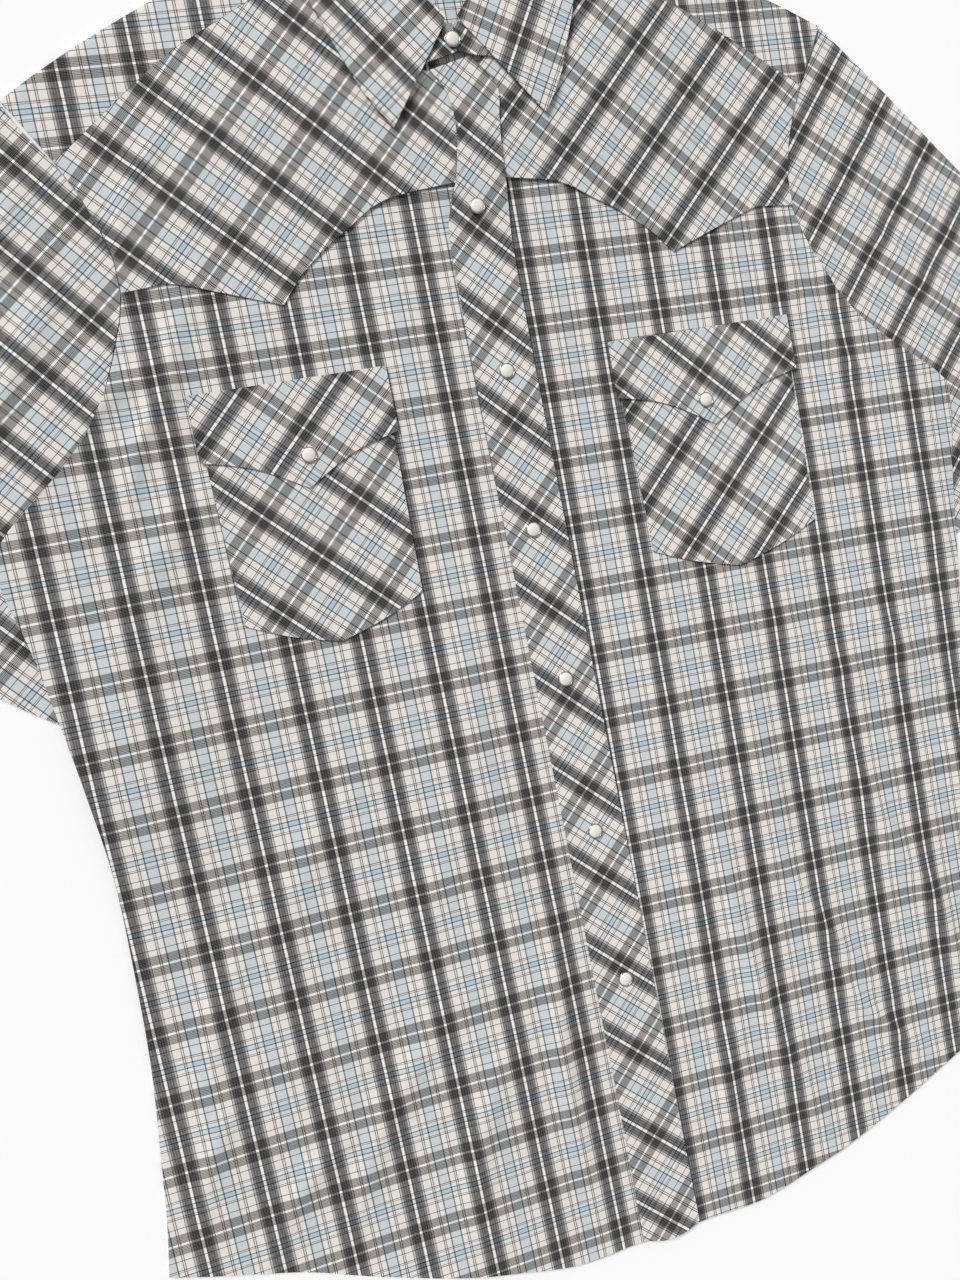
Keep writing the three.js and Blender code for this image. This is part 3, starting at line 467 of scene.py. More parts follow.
# Yarn-dyed cotton, plainly woven and pressed: two coloured yarns cross everywhere, so the eye sees
# both at once, dark where two dark bands cross and pale in the open squares, with a dull surface.
@dataclass(frozen=True)
class PlaidCloth:
    """Plaid cotton. Slubs are drawn about 0.7 mm thick, coarser than the real yarn, so that they show."""

    name: str
    repeat: float = REPEAT * MM
    warp_share: float = 0.52
    depth: float = 0.74
    roughness: float = 0.88
    specular: float = 0.25
    slub: tuple[float, float] = (1500.0, 260.0)
    slub_depth: float = 0.9
    bump_strength: float = 0.25
    bump_height: float = 0.2 * MM
    object_place: tuple[float, float] | None = None

    def slubs(
        self, tree: bpy.types.NodeTree, place: bpy.types.NodeSocket, warp: bool
    ) -> bpy.types.NodeSocket:
        """Gives the uneven thickness of one set of yarns: noise drawn out along them.

        Args:
            tree: Node tree.
            place: Socket with the place on the cloth in metres.
            warp: Whether they are the warp's yarns.

        Returns:
            Socket with the thickness, from 0 to 1.
        """
        thick, long = self.slub
        stretch = (thick, long, 1.0) if warp else (long, thick, 1.0)
        moved = node(tree, "ShaderNodeVectorMath", {"operation": "MULTIPLY"}, {0: place, 1: stretch})
        noise = {"Vector": moved.outputs[0], "Scale": 1.0, "Detail": 2.0}
        return node(tree, "ShaderNodeTexNoise", None, noise).outputs[0]

    def stripes(
        self, tree: bpy.types.NodeTree, value: bpy.types.NodeSocket, table: tuple[tuple[float, str], ...]
    ) -> bpy.types.NodeSocket:
        """Turns a distance into the colour of its yarn.

        Args:
            tree: Node tree.
            value: Socket with the distance in metres.
            table: Where each yarn starts, in mm from the white line, with its ink.

        Returns:
            Socket with the colour.
        """
        steps = (("DIVIDE", self.repeat), ("ADD", 0.5), ("FLOORED_MODULO", 1.0), ("SUBTRACT", 0.5),
                 ("ABSOLUTE", 0.0), ("MULTIPLY", 2.0))
        for operation, number in steps:
            value = node(tree, "ShaderNodeMath", {"operation": operation}, {0: value, 1: number}).outputs[0]
        ramp = node(tree, "ShaderNodeValToRGB", None, {0: value})
        band = ramp.color_ramp
        band.interpolation = "CONSTANT"
        band.elements.remove(band.elements[1])
        band.elements[0].color = linear(INK[table[0][1]])
        for start, ink in table[1:]:
            band.elements.new(start / (REPEAT / 2.0)).color = linear(INK[ink])
        return ramp.outputs[0]

    def make(self) -> bpy.types.Material:
        """Builds the material.

        Returns:
            The material.
        """
        mat = bpy.data.materials.new(self.name)
        mat.use_nodes = True
        tree = mat.node_tree
        shader = tree.nodes["Principled BSDF"]
        if self.object_place is None:
            place = node(tree, "ShaderNodeUVMap", {"uv_map": "cloth"}).outputs[0]
        else:
            raw = node(tree, "ShaderNodeTexCoord").outputs["Object"]
            shift = (-self.object_place[0] * MM, -(self.object_place[1] + ORIGIN_Y) * MM, 0.0)
            place = node(tree, "ShaderNodeVectorMath", {"operation": "ADD"}, {0: raw, 1: shift}).outputs[0]
        axes = node(tree, "ShaderNodeSeparateXYZ", None, {0: place})
        warp = self.stripes(tree, axes.outputs[0], WARP)
        weft = self.stripes(tree, axes.outputs[1], WEFT)
        flat = node(tree, "ShaderNodeCombineXYZ", None, {0: axes.outputs[0], 1: axes.outputs[1]}).outputs[0]
        pair = {0: self.slubs(tree, flat, True), 1: self.slubs(tree, flat, False)}
        less = node(tree, "ShaderNodeMath", {"operation": "SUBTRACT"}, pair)
        grow = node(tree, "ShaderNodeMath", {"operation": "MULTIPLY_ADD", "use_clamp": True},
                    {0: less.outputs[0], 1: self.slub_depth, 2: 1.0 - self.warp_share}).outputs[0]
        pair = {0: grow, 6: warp, 7: weft}
        side_by_side = node(tree, "ShaderNodeMix", {"data_type": "RGBA"}, pair).outputs[2]
        through = node(tree, "ShaderNodeMix", {"data_type": "RGBA", "blend_type": "MULTIPLY"},
                       {0: 1.0, 6: warp, 7: weft}).outputs[2]
        seen = node(tree, "ShaderNodeMix", {"data_type": "RGBA"},
                    {0: self.depth, 6: side_by_side, 7: through}).outputs[2]
        tree.links.new(seen, shader.inputs["Base Color"])
        shader.inputs["Roughness"].default_value = self.roughness
        shader.inputs["Specular IOR Level"].default_value = self.specular
        relief = {"Strength": self.bump_strength, "Distance": self.bump_height, "Height": less.outputs[0]}
        bump = node(tree, "ShaderNodeBump", None, relief)
        tree.links.new(bump.outputs[0], shader.inputs["Normal"])
        return mat


@dataclass(frozen=True)
class Plain:
    """A plain finish of one colour."""

    name: str
    colour: str
    roughness: float
    metallic: float = 0.0
    coat: float = 0.0

    def make(self) -> bpy.types.Material:
        """Builds the material.

        Returns:
            The material.
        """
        mat = bpy.data.materials.new(self.name)
        mat.use_nodes = True
        shader = mat.node_tree.nodes["Principled BSDF"]
        shader.inputs["Base Color"].default_value = linear(self.colour)
        shader.inputs["Roughness"].default_value = self.roughness
        shader.inputs["Metallic"].default_value = self.metallic
        shader.inputs["Coat Weight"].default_value = self.coat
        return mat


# Imitation pearl, moulded and polished: a milky body under a clear, glossy skin.
PEARL = Plain("pearl", "#e9e4dc", 0.18, coat=0.6)
# Nickel-plated steel, pressed: bright, with soft highlights.
SNAP_METAL = Plain("snap_metal", "#b9b8b4", 0.25, metallic=1.0)
# White paper on the table: dull and even, so it only takes the shadow.
WHITE_TABLE = Plain("white_table", "#fbfbfb", 0.9)


def finish_piece(obj: bpy.types.Object, cad: str, mat: bpy.types.Material) -> bpy.types.Object:
    """Gives a piece its finish, hangs it on the root body and hides the CAD node that it stands for.

    Args:
        obj: The piece.
        cad: Name of the CAD node.
        mat: Finish.

    Returns:
        The piece.
    """
    obj.data.materials.append(mat)
    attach(obj, "root")
    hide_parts(cad)
    LOG.info("%s: %d faces", obj.name, len(obj.data.polygons))
    return obj


# ---- pieces -------------------------------------------------------------------------------------


def centre_edge(side: Side) -> float:
    """Gives where a front or yoke ends under the placket."""
    return CENTRE_LAP if side is Side.RIGHT else CENTRE_LAP + GAP


def neckline(side: Side) -> np.ndarray:
    """Gives the front neckline of one side, down to the centre front."""
    line = NECKLINE * (side.value, 1)
    line[-1, 0] = centre_edge(side)
    return line


def armpit_shift(side: Side) -> float:
    """Gives how much further out this side's armpit is than the table's."""
    return SIDE_X[side][0] + ARMHOLE[-1, 0]


def armhole(side: Side, first: int, last: int | None, sign: int) -> np.ndarray:
    """Gives the armhole seam of one side between two of its rows.

    Args:
        side: Side of the shirt.
        first: First row.
        last: Row after the last one, or None for all.
        sign: Direction of the seam in x.

    Returns:
        The rows.
    """
    p = ARMHOLE[first:last]
    jump = armpit_shift(side)
    return np.column_stack([sign * (jump * smooth(0.0, SIDE_Y[0], p[:, 1]) - p[:, 0]), p[:, 1]])


def body_side(side: Side, first: int, steps: int, times: int) -> np.ndarray:
    """Gives the body's outer edge: armhole seam, then side seam.

    Args:
        side: Side of the shirt.
        first: Row of the armhole where the edge starts.
        steps: Steps of the side seam in the CAD.
        times: Parts for each of those steps and each armhole row.

    Returns:
        The edge's points.
    """
    seam = np.column_stack([side.value * SIDE_X[side], SIDE_Y])
    return join(divide(armhole(side, first, None, side.value), times), sample(seam, steps * times))


@dataclass
class Body:
    """The two fronts and the back."""

    cloth: bpy.types.Material
    times: int = 10
    back_times: int = 4
    across: int = 10
    side_steps: int = 14
    neck_steps: int = 3
    back_across: int = 22
    back_row: int = 5
    chest_y: float = -160.0
    hem_ends: tuple[float, float] = (-325.0, 320.0)
    hem_middle: float = -708.0

    def front(self, side: Side, grain: Grain) -> bpy.types.Object:
        """Builds one front, from the shoulder seam under the yoke to the hem.

        Args:
            side: Side of the shirt.
            grain: How the plaid lies on it.

        Returns:
            The new object.
        """
        sign, k = side.value, self.times
        lap = centre_edge(side)
        edge = body_side(side, SHOULDER_END, self.side_steps, k)
        seam = sample(SHOULDER_SEAM * (sign, 1), self.across * k)[::-1]
        hem_rows = HEM * (sign, 1)
        hem_rows[0, 0] = sign * SIDE_X[side][-1]
        hem = sample(hem_rows, self.across * k)
        hem[-1, 0] = lap
        upper = len(ARMHOLE) - 1 - SHOULDER_END - self.neck_steps
        chest, foot = self.chest_y, HEM[-1, 1]
        centre = join(
            sample(neckline(side), self.neck_steps * k),
            even(rows((lap, NECKLINE[-1, 1]), (lap, chest)), upper * k),
            even(rows((lap, chest), (lap, foot)), self.side_steps * k),
        )
        return lay(f"front_{side.name.lower()}_cloth", patch(edge, centre, seam, hem), 1, grain)

    def back(self, grain: Grain) -> bpy.types.Object:
        """Builds the back, from the back yoke to the hem.

        Args:
            grain: How the plaid lies on it.

        Returns:
            The new object.
        """
        k = self.back_times
        whole = np.vstack([(BACK_YOKE_EDGE * (-1, 1))[::-1], BACK_YOKE_EDGE[1:]])
        top = sample(whole, self.back_across * k) - (0.0, GAP)
        half = HEM[:-1].copy()
        one, two = half * (-1, 1), half[::-1].copy()
        one[0, 0], two[-1, 0] = self.hem_ends
        hem = sample(np.vstack([one, rows((0, self.hem_middle)), two]), self.back_across * k)
        left = body_side(Side.RIGHT, self.back_row, self.side_steps, k)
        right = body_side(Side.LEFT, self.back_row, self.side_steps, k)
        left[0], right[0] = top[0], top[-1]
        return lay("back_cloth", patch(left, right, top, hem), 0, grain)

    def build(self) -> None:
        right = self.front(Side.RIGHT, Grain(-39.7, -30.2, 0.3))
        left = self.front(Side.LEFT, Grain(26.9, -34.8, -0.65))
        back = self.back(Grain(0.0, 0.0, 0.0))
        for piece, cad in ((right, "front_right"), (left, "front_left"), (back, "back")):
            finish_piece(piece, cad, self.cloth)


@dataclass
class FrontYoke:
    """A pointed yoke on the bias, over the top of one front."""

    side: Side
    cloth: bpy.types.Material
    grain: Grain
    times: int = 12

    def build(self) -> None:
        """Builds the yoke between neckline and centre, armhole, shoulder seam and pointed edge."""
        sign, k = self.side.value, self.times
        lap = centre_edge(self.side)
        foot = [run * (sign, 1) for run in YOKE_EDGE]
        foot[0][0, 0] = lap
        front = even(rows((lap, NECKLINE[-1, 1]), (lap, YOKE_EDGE[0][0, 1])), 2 * k)
        inner = join(sample(neckline(self.side), 2 * k), front)
        outer = divide(armhole(self.side, SHOULDER_END, YOKE_END + 1, sign), k)
        lower = join(sample(foot[0], 4 * k), sample(foot[1], 4 * k))
        grid = patch(inner, outer, sample(SHOULDER_SEAM * (sign, 1), 8 * k), lower)
        name = f"front_yoke_{self.side.name.lower()}"
        piece = finish_piece(lay(name + "_cloth", grid, 2, self.grain), name, self.cloth)


@dataclass
class Sleeve:
    """A short sleeve, folded along its top with its hem edges level."""

    side: Side
    cloth: bpy.types.Material
    times: int = 6
    puff: float = 1.4
    seam_gap: float = 0.6
    inset: float = 3.0
    margin: float = 4.0
    underarm_steps: int = 3
    turns: int = 8

    def height(self, x: np.ndarray, y: np.ndarray) -> np.ndarray:
        """Gives the under face of the upper layer: a soft puff towards the cuff, and the creases.

        Args:
            x: Plan x, mm.
            y: Plan y, mm.

        Returns:
            Height above the table, mm.
        """
        x = -np.abs(x)
        body = smooth(0.0, 60.0, -x - 0.75 * y - 131.0)
        fold = smooth(0.0, 70.0, -0.76 * x + 0.65 * y - 143.0)
        puff = body * fold * smooth(0.0, 70.0, -x - 330.0)
        creased = smooth(4.0, 40.0, self.from_fold(x, y)) * smooth(2.0, 34.0, self.from_body(x, y))
        return LAYER + self.puff * puff + creased * bumps(SLEEVE_CREASES, -x, y)

    def from_fold(self, x: np.ndarray, y: np.ndarray) -> np.ndarray:
        """Gives the distance in from the fold's straight line."""
        return (SLEEVE_TOP[0, 1] - y) * 0.645 - (SLEEVE_TOP[0, 0] - x) * 0.764

    def from_body(self, x: np.ndarray, y: np.ndarray) -> np.ndarray:
        """Gives the distance out from the armhole, less a margin."""
        return -x - np.interp(-y, -ARMHOLE[:, 1], -ARMHOLE[:, 0]) - self.margin

    def inward(self, points: np.ndarray) -> np.ndarray:
        """Moves points near the underarm in or out with this side's armpit."""
        shift = armpit_shift(self.side) * smooth(SLEEVE_HEM[0, 0], UNDERARM[0, 0], points[:, 0])
        return points - np.column_stack([shift, 0.0 * shift])

    def plan(self) -> tuple[np.ndarray, np.ndarray, np.ndarray]:
        """Works out the flat layer, the fold line and the direction out of the fold.

        Returns:
            Grid of the layer from the fold inward, points of the fold, and unit steps out of it.
        """
        k = self.times
        raw = armhole(self.side, 0, None, -1)
        way = np.vstack([raw[1:], raw[-1:]]) - np.vstack([raw[:1], raw[:-1]])
        way = way / np.hypot(way[:, 0], way[:, 1])[:, None]
        hole = raw + self.seam_gap * np.column_stack([way[:, 1], -way[:, 0]])
        underarm = sample(np.vstack([hole[-1:], self.inward(UNDERARM[1:])]), self.underarm_steps * k)
        lower = join(divide(hole[YOKE_END:], k), underarm)
        hem = sample(self.inward(SLEEVE_HEM), YOKE_END * k)
        grid = patch(sample(SLEEVE_TOP, len(lower) - 1), lower, divide(hole[:YOKE_END + 1], k), hem)
        fold = grid[:, 0]
        run = np.gradient(fold, axis=0)
        run = run / np.hypot(run[:, 0], run[:, 1])[:, None]
        out = np.column_stack([run[:, 1], -run[:, 0]])
        step = grid[:, 1] - fold
        first = fold + step / np.hypot(step[:, 0], step[:, 1])[:, None] * self.inset
        flat = np.concatenate([first[:, None], grid[:, 2:]], axis=1)
        flip = np.array([-self.side.value, 1.0])
        return flat * flip, fold * flip, out * flip

    def turned(self, fold: np.ndarray, out: np.ndarray, half: np.ndarray, radius: np.ndarray) -> np.ndarray:
        """Gives the round of the fold: half a circle that stands square on the fold line.

        Args:
            fold: Points of the fold.
            out: Unit steps out of it.
            half: Half the height of the fold at each point.
            radius: Radius of the round at each point.

        Returns:
            Grid of points, mm.
        """
        a = -math.pi / 2 + math.pi * np.arange(1, self.turns) / self.turns
        reach = (radius[:, None] * np.cos(a) - half[:, None])[..., None]
        height = (half[:, None] + radius[:, None] * np.sin(a))[..., None]
        return np.concatenate([fold[:, None] + out[:, None] * reach, height], -1)

    def build(self, grain: Grain) -> None:
        """Builds the sleeve: lower layer, round of the fold, upper layer.

        Args:
            grain: How the plaid lies on it.
        """
        flat, fold, out = self.plan()
        half = (self.height(fold[:, 0], fold[:, 1]) + CLOTH) / 2.0
        top = self.height(flat[..., 0], flat[..., 1])[..., None]
        down = flat[:, ::-1]
        zero = np.zeros(down.shape[:2] + (1,))
        over = np.concatenate([
            np.concatenate([down, zero], -1),
            self.turned(fold, out, half, half),
            np.concatenate([flat, top + CLOTH], -1),
        ], 1)
        inner = np.concatenate([
            np.concatenate([down, zero + CLOTH], -1),
            self.turned(fold, out, half, half - CLOTH),
            np.concatenate([flat, top], -1),
        ], 1)
        name = f"sleeve_{self.side.name.lower()}"
        obj = wall(name + "_cloth", over, inner, grain.uv(over[..., :2]))
        piece = finish_piece(obj, name, self.cloth)


@dataclass
class Placket:
    """The bias band down the front, its edges curving in plan at the neck."""

    cloth: bpy.types.Material
    across: int = 16
    steps: int = 300
    dip: float = 6.0
    dip_start: float = 0.93

    def build(self) -> None:
        """Builds the placket: straight across between its edges, with a foot that bows down."""
        left = sample(PLACKET_LEFT, self.steps)[:, None]
        right = sample(PLACKET_RIGHT, self.steps)[:, None]
        u = np.linspace(0.0, 1.0, self.across + 1)[None, :, None]
        grid = left + (right - left) * u
        t = np.linspace(0.0, 1.0, self.steps + 1)[:, None]
        grid[..., 1] -= self.dip * 4.0 * (u * (1 - u))[..., 0] * smooth(self.dip_start, 1.0, t)
        obj = lay("placket_cloth", grid, placket_level, Grain(0.0, -12.0, 45.0))
        piece = finish_piece(obj, "placket", self.cloth)


@dataclass
class Pocket:
    """A bias patch pocket with its pointed flap."""

    side: Side
    cloth: bpy.types.Material
    left: float
    right: float
    top: float
    bottom: float
    point: float
    flap: float
    flap_end: float
    taper: float = 3.0
    proud: float = 2.5
    flap_rise: float = 2.0
    body_drop: float = 12.0
    flap_drop: float = 9.0
    times: int = 8

    def panel(
        self, width: float, taper: float, top: float, ends: float, point: float, drop: float, steps: int
    ) -> np.ndarray:
        """Works out a panel with a pointed foot.

        Args:
            width: How much wider than the pocket each side is.
            taper: How far each side runs in towards the foot.
            top: Height of the top edge.
            ends: Height where the foot starts.
            point: Height of the point.
            drop: How far the foot drops halfway to the point.
            steps: Steps down the side in the CAD.

        Returns:
            Grid of plan points.
        """
        k, middle = self.times, (self.left + self.right) / 2.0
        l, r = self.left - width, self.right + width
        one = rows((l + taper, ends), ((l + middle) / 2.0, ends - drop), (middle, point))
        two = rows((middle, point), ((r + middle) / 2.0, ends - drop), (r - taper, ends))
        return patch(
            even(rows((l, top), (l + taper, ends)), steps * k),
            even(rows((r, top), (r - taper, ends)), steps * k),
            even(rows((l, top), (r, top)), 6 * k),
            join(sample(one, 3 * k), sample(two, 3 * k)),
        )

    def build(self, body_grain: Grain, flap_grain: Grain) -> None:
        """Builds the pocket and its flap.

        Args:
            body_grain: How the plaid lies on the pocket.
            flap_grain: How it lies on the flap.
        """
        side = self.side.name.lower()
        brow = self.top + self.flap_rise
        body_grid = self.panel(0.0, self.taper, self.top, self.bottom, self.point, self.body_drop, 5)
        flap_grid = self.panel(self.proud, 0.0, brow, self.flap_end, self.flap, self.flap_drop, 3)
        body = lay(f"pocket_{side}_cloth", body_grid, 2, body_grain)
        flap = lay(f"flap_{side}_cloth", flap_grid, 3, flap_grain)
        finish_piece(body, f"pocket_{side}", self.cloth)
        finish_piece(flap, f"flap_{side}", self.cloth)


@dataclass
class CollarBand:
    """A band round the neck: front half, turn over the shoulder, back half, and the same again."""

    name: str
    cloth: bpy.types.Material
    inner: np.ndarray
    outer: np.ndarray
    back_inner: np.ndarray
    back_outer: np.ndarray
    level: int
    back_level: int
    turn: float
    across: int = 18
    turns: int = 10
    times: int = 8

    def line(self, inner: np.ndarray, outer: np.ndarray) -> np.ndarray:
        """Gives a grid of plan points straight across between two edges.

        Args:
            inner: Roll line or upper edge.
            outer: Outer or lower edge.

        Returns:
            Grid of plan points.
        """
        u = np.linspace(0.0, 1.0, self.across + 1)[None, :, None]
        return divide(inner, self.times)[:, None] * (1 - u) + divide(outer, self.times)[:, None] * u

    def flip(self, grid: np.ndarray) -> np.ndarray:
        """Mirrors plan points about the collar's centre."""
        return np.stack([2 * COLLAR_CENTRE - grid[..., 0], grid[..., 1]], -1)

    def turned(self, end: np.ndarray, half: np.ndarray, radius: np.ndarray) -> np.ndarray:
        """Gives the turn over the shoulder: half an ellipse over the last line of the front half.

        Args:
            end: Plan points of that line.
            half: Half the height of the turn at each of them.
            radius: Upright radius of the turn at each of them.

        Returns:
            Grid of points, mm.
        """
        a = (math.pi / 2 - math.pi * np.arange(1, self.turns) / self.turns)[:, None]
        reach = self.turn / half * radius * np.cos(a)
        height = self.back_level * LAYER + half + radius * np.sin(a)
        return np.stack([end[None, :, 0] + 0.0 * a, end[None, :, 1] + reach, height], -1)

    def half_band(self, front: np.ndarray, back: np.ndarray) -> tuple[np.ndarray, np.ndarray]:
        """Gives one half of the band: front half on the stack, turn, back half lying level.

        Args:
            front: Plan grid of the front half.
            back: Plan grid of the back half.

        Returns:
            Outer and inner grid, mm.
        """
        low = self.back_level * LAYER
        z = layer_height(self.level, front[..., 0], front[..., 1])[..., None]
        end = front[-1]
        half = (layer_height(self.level, end[:, 0], end[:, 1]) + CLOTH - low) / 2.0
        level = np.full(back.shape[:2] + (1,), low)
        over = np.concatenate([
            np.concatenate([front, z + CLOTH], -1),
            self.turned(end, half, half),
            np.concatenate([back, level], -1),
        ], 0)
        under = np.concatenate([
            np.concatenate([front, z], -1),
            self.turned(end, half, half - CLOTH),
            np.concatenate([back, level + CLOTH], -1),
        ], 0)
        return over, under

    def build(self, left: Grain, right: Grain) -> bpy.types.Object:
        """Builds the band.

        Args:
            left: How the plaid lies on the half at the viewer's left.
            right: How it lies on the other half.

        Returns:
            The piece.
        """
        front = self.line(self.inner, self.outer)
        back = self.line(self.back_inner, self.back_outer)
        one_over, one_under = self.half_band(front, back)
        two_over, two_under = self.half_band(self.flip(front), self.flip(back))
        over = np.concatenate([one_over, two_over[:-1][::-1]], 0)
        under = np.concatenate([one_under, two_under[:-1][::-1]], 0)
        first = (np.arange(len(over)) < len(one_over))[:, None, None]
        uv = np.where(first, left.uv(over[..., :2]), right.uv(over[..., :2]))
        obj = wall(self.name + "_cloth", over, under, uv)
        return finish_piece(obj, self.name, self.cloth)


@dataclass
class Snap:
    """A pearl snap: domed cap in a thin metal ring."""

    name: str
    x: float
    y: float
    level: Level
    radius: float = 5.1
    rise: float = 2.4
    ring: float = 0.7
    shoulder: float = 0.9
    hoop_height: float = 0.75
    clearance: float = 0.05
    pole: float = 0.02
    reach: float = 6.0
    lift: float = 0.1
    sides: int = 48
    dome_rows: int = 12
    hoop_rows: int = 9

    def base(self) -> float:
        """Gives the height at which the snap sits clear of the cloth round it."""
        steps = rows((0, 0), (0, self.reach), (0, -self.reach), (self.reach, 0), (-self.reach, 0))
        x, y = (steps + (self.x, self.y)).T
        level = self.level(x, y) if callable(self.level) else self.level
        return float(layer_height(level, x, y).max()) + CLOTH + self.lift

    def lathe(self, name: str, profile: np.ndarray) -> bpy.types.Object:
        """Turns a closed profile about the snap's axis: each point goes once round at its radius.

        Args:
            name: Name of the object.
            profile: Radius and height of each point.

        Returns:
            The new object.
        """
        a = np.linspace(0.0, 2 * math.pi, self.sides, endpoint=False)[:, None]
        radius, height = profile[None, :, 0], profile[None, :, 1]
        x, y = self.x + radius * np.cos(a), self.y + radius * np.sin(a)
        points = np.stack([x, y, self.base() + height + 0.0 * a], -1)
        at = np.arange(x.size).reshape(x.shape)
        after = np.roll(at, -1, 0)
        faces = np.stack([at, after, np.roll(after, -1, 1), np.roll(at, -1, 1)], -1).reshape(-1, 4)
        return make_object(name, points.reshape(-1, 3), faces)

    def cap_profile(self) -> np.ndarray:
        """Gives the cap's profile: level foot, upright side, quarter of an ellipse over the top."""
        edge = self.radius - self.ring - self.clearance
        t = np.linspace(0.0, math.pi / 2, self.dome_rows)
        dome = np.column_stack([edge * np.cos(t), self.shoulder + (self.rise - self.shoulder) * np.sin(t)])
        dome[-1, 0] = self.pole
        return np.vstack([rows((self.pole, 0.0), (edge, 0.0)), dome])

    def hoop_profile(self) -> np.ndarray:
        """Gives the ring's profile: upright sides with half a circle on top."""
        half = self.ring / 2
        middle = self.radius - half
        t = np.linspace(0.0, math.pi, self.hoop_rows)
        top = np.column_stack([middle + half * np.cos(t), self.hoop_height + half * np.sin(t)])
        return np.vstack([rows((middle - half, 0.0), (middle + half, 0.0)), top])

    def build(self, pearl: bpy.types.Material, steel: bpy.types.Material) -> None:
        """Builds cap and ring.

        Args:
            pearl: Finish of the cap.
            steel: Finish of the ring.
        """
        cap = self.lathe(self.name + "_pearl", self.cap_profile())
        hoop = self.lathe(self.name + "_hoop", self.hoop_profile())
        finish_piece(cap, self.name + "_cap", pearl)
        finish_piece(hoop, self.name + "_ring", steel)


SNAP_ROW = ((2, 0), (1, -105), (-2, -209), (0, -310), (0, -415), (1, -520))
FLAP_LEVEL = 3
SNAPS = (("snap_neck", 6, 102), ("snap_pocket_right", -135, -137), ("snap_pocket_left", 134, -145))


def build_snaps() -> None:
    """Builds the snaps of the placket, then those of the stand and the flaps."""
    pearl = PEARL.make()
    steel = SNAP_METAL.make()
    for i, (x, y) in enumerate(SNAP_ROW):
        Snap(f"snap_front_{i + 1}", x, y, placket_level).build(pearl, steel)
    for name, x, y in SNAPS:
        Snap(name, x, y, FLAP_LEVEL).build(pearl, steel)


def wrapped_yoke() -> None:
    """Dresses the back yoke, which keeps its CAD mesh, with plaid that runs on over the shoulders."""
    yoke = bpy.data.objects["back_yoke"]
    yoke.data.materials.clear()
    yoke.data.materials.append(PlaidCloth("plaid_cloth_wrapped", object_place=(208.0, 107.0)).make())
    LOG.info("%s: %d faces", yoke.name, len(yoke.data.polygons))


def build_collar(cloth: bpy.types.Material) -> None:
    """Builds stand and leaf.

    Args:
        cloth: Finish of both.
    """
    stand_lines = (STAND_TOP, STAND_FOOT, STAND_BACK_TOP, STAND_BACK_FOOT)
    stand = CollarBand("collar_stand", cloth, *stand_lines, level=3, back_level=1, turn=6.5)
    piece = stand.build(Grain(0.0, 100.0, 40.0), Grain(10.0, 100.0, -40.0))
    leaf_lines = (LEAF_ROLL, LEAF_EDGE, LEAF_BACK_ROLL, LEAF_BACK_EDGE)
    leaf = CollarBand("collar_leaf", cloth, *leaf_lines, level=4, back_level=0, turn=9.0)
    piece = leaf.build(Grain(-40.0, 100.0, 38.0), Grain(50.0, 100.0, -30.0))


# ---- table, light and camera --------------------------------------------------------------------


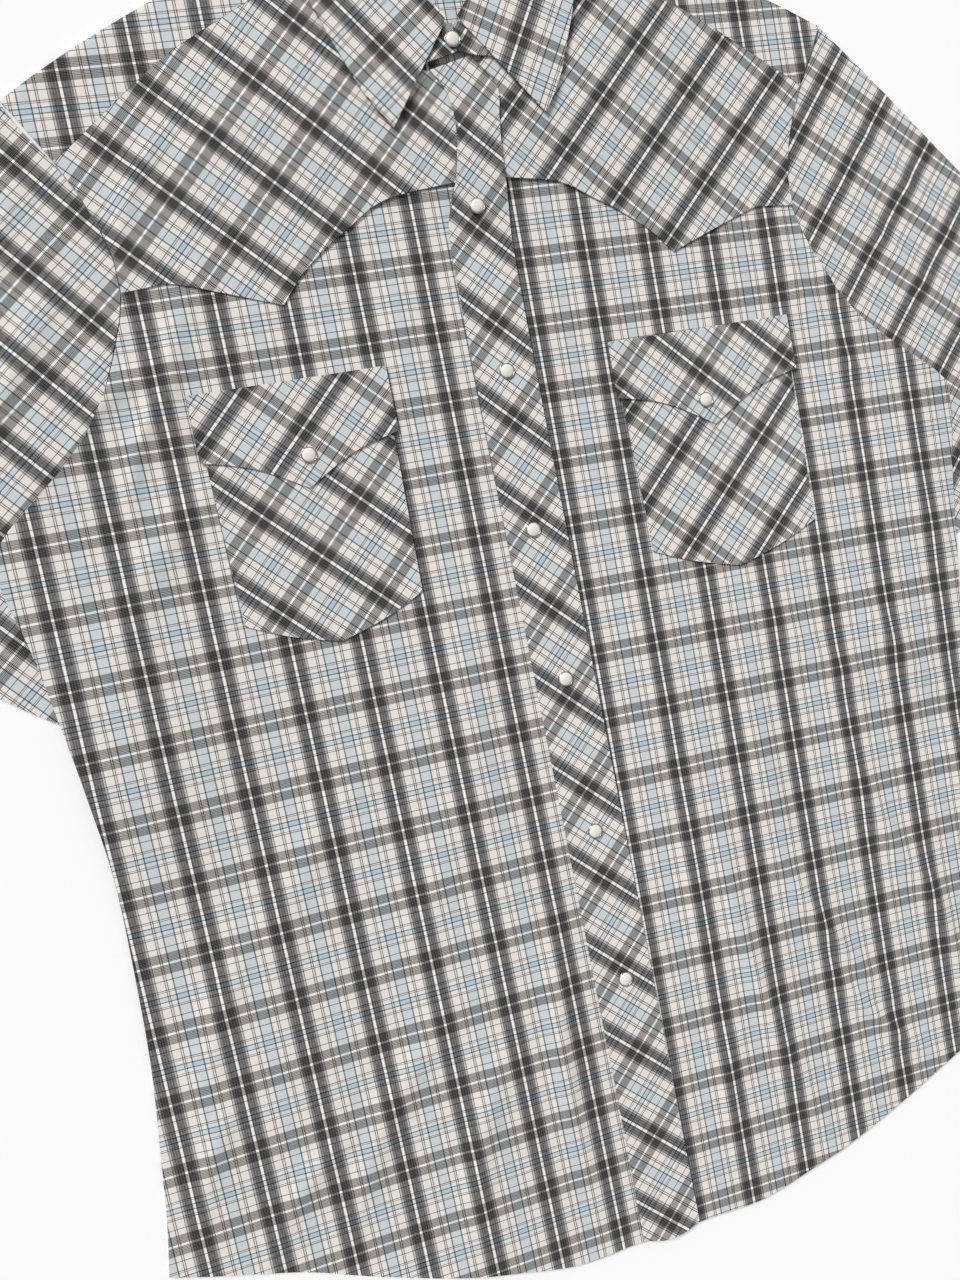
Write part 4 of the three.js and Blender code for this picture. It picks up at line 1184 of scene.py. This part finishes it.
@dataclass
class Studio:
    """White table, even white surroundings, one large soft light and the camera."""

    table_size: float = 6.0
    table_drop: float = 0.0002
    surround: float = 0.38
    light: float = 3.05
    light_width: float = math.radians(22.0)
    light_turn: tuple[float, float] = (math.radians(-38.0), math.radians(-36.0))
    sensor: float = 36.0
    lens: float = 25.96
    near: float = 0.01
    eye: tuple[float, float, float] = (-0.1662, 0.0336, 0.5932)
    right: tuple[float, float, float] = (0.9596, -0.1966, 0.2012)
    up: tuple[float, float, float] = (0.2071, 0.9778, -0.0321)
    ahead: tuple[float, float, float] = (0.1904, -0.0724, -0.9790)

    def table(self) -> None:
        """Lays the white table under the shirt."""
        bpy.ops.mesh.primitive_plane_add(size=self.table_size, location=(0.0, 0.0, -self.table_drop))
        floor = bpy.context.object
        floor.name = "floor"
        floor.data.materials.append(WHITE_TABLE.make())

    def lights(self) -> None:
        """Sets the surroundings and the soft light from the upper left."""
        world = bpy.data.worlds.new("studio")
        world.use_nodes = True
        background = world.node_tree.nodes["Background"]
        background.inputs["Color"].default_value = (1.0, 1.0, 1.0, 1.0)
        background.inputs["Strength"].default_value = self.surround
        bpy.context.scene.world = world
        data = bpy.data.lights.new("window", "SUN")
        data.angle = self.light_width
        data.energy = self.light
        sun = bpy.data.objects.new("window", data)
        sun.rotation_euler = (*self.light_turn, 0.0)
        bpy.context.collection.objects.link(sun)

    def camera(self) -> None:
        """Sets the camera by its three directions and its place."""
        data = bpy.data.cameras.new("eye")
        data.sensor_fit = "VERTICAL"
        data.sensor_height = self.sensor
        data.lens = self.lens
        data.clip_start = self.near
        camera = bpy.data.objects.new("eye", data)
        columns = zip(self.right, self.up, self.ahead, self.eye)
        turn = [[r, u, -a, e] for r, u, a, e in columns]
        camera.matrix_world = Matrix([*turn, [0.0, 0.0, 0.0, 1.0]])
        bpy.context.collection.objects.link(camera)
        bpy.context.scene.camera = camera
        bpy.context.scene.view_settings.view_transform = "Standard"

    def build(self) -> None:
        """Sets everything."""
        self.table()
        self.lights()
        self.camera()


def main() -> None:
    """Builds the shirt piece by piece, then its surroundings."""
    logging.basicConfig(level=logging.INFO, format="%(message)s")
    straight = PlaidCloth("plaid_cloth").make()
    bias = PlaidCloth("plaid_cloth_bias").make()
    Body(straight).build()
    FrontYoke(Side.RIGHT, bias, Grain(-90.0, 60.0, 45.0)).build()
    FrontYoke(Side.LEFT, bias, Grain(100.0, 60.0, -45.0)).build()
    wrapped_yoke()
    Sleeve(Side.RIGHT, straight).build(Grain(-340.0, -60.0, 40.0))
    Sleeve(Side.LEFT, straight).build(Grain(340.0, -60.0, -40.0))
    Placket(bias).build()
    right = Pocket(Side.RIGHT, bias, -198, -79, -92, -234, -255, -157, -131)
    right.build(Grain(-140.0, -200.0, 45.0), Grain(-135.0, -120.0, -45.0))
    left = Pocket(Side.LEFT, bias, 75, 202, -99, -239, -260, -162, -134)
    left.build(Grain(140.0, -205.0, -45.0), Grain(134.0, -125.0, 45.0))
    build_collar(bias)
    build_snaps()
    Studio().build()


if __name__ == "__main__":
    main()
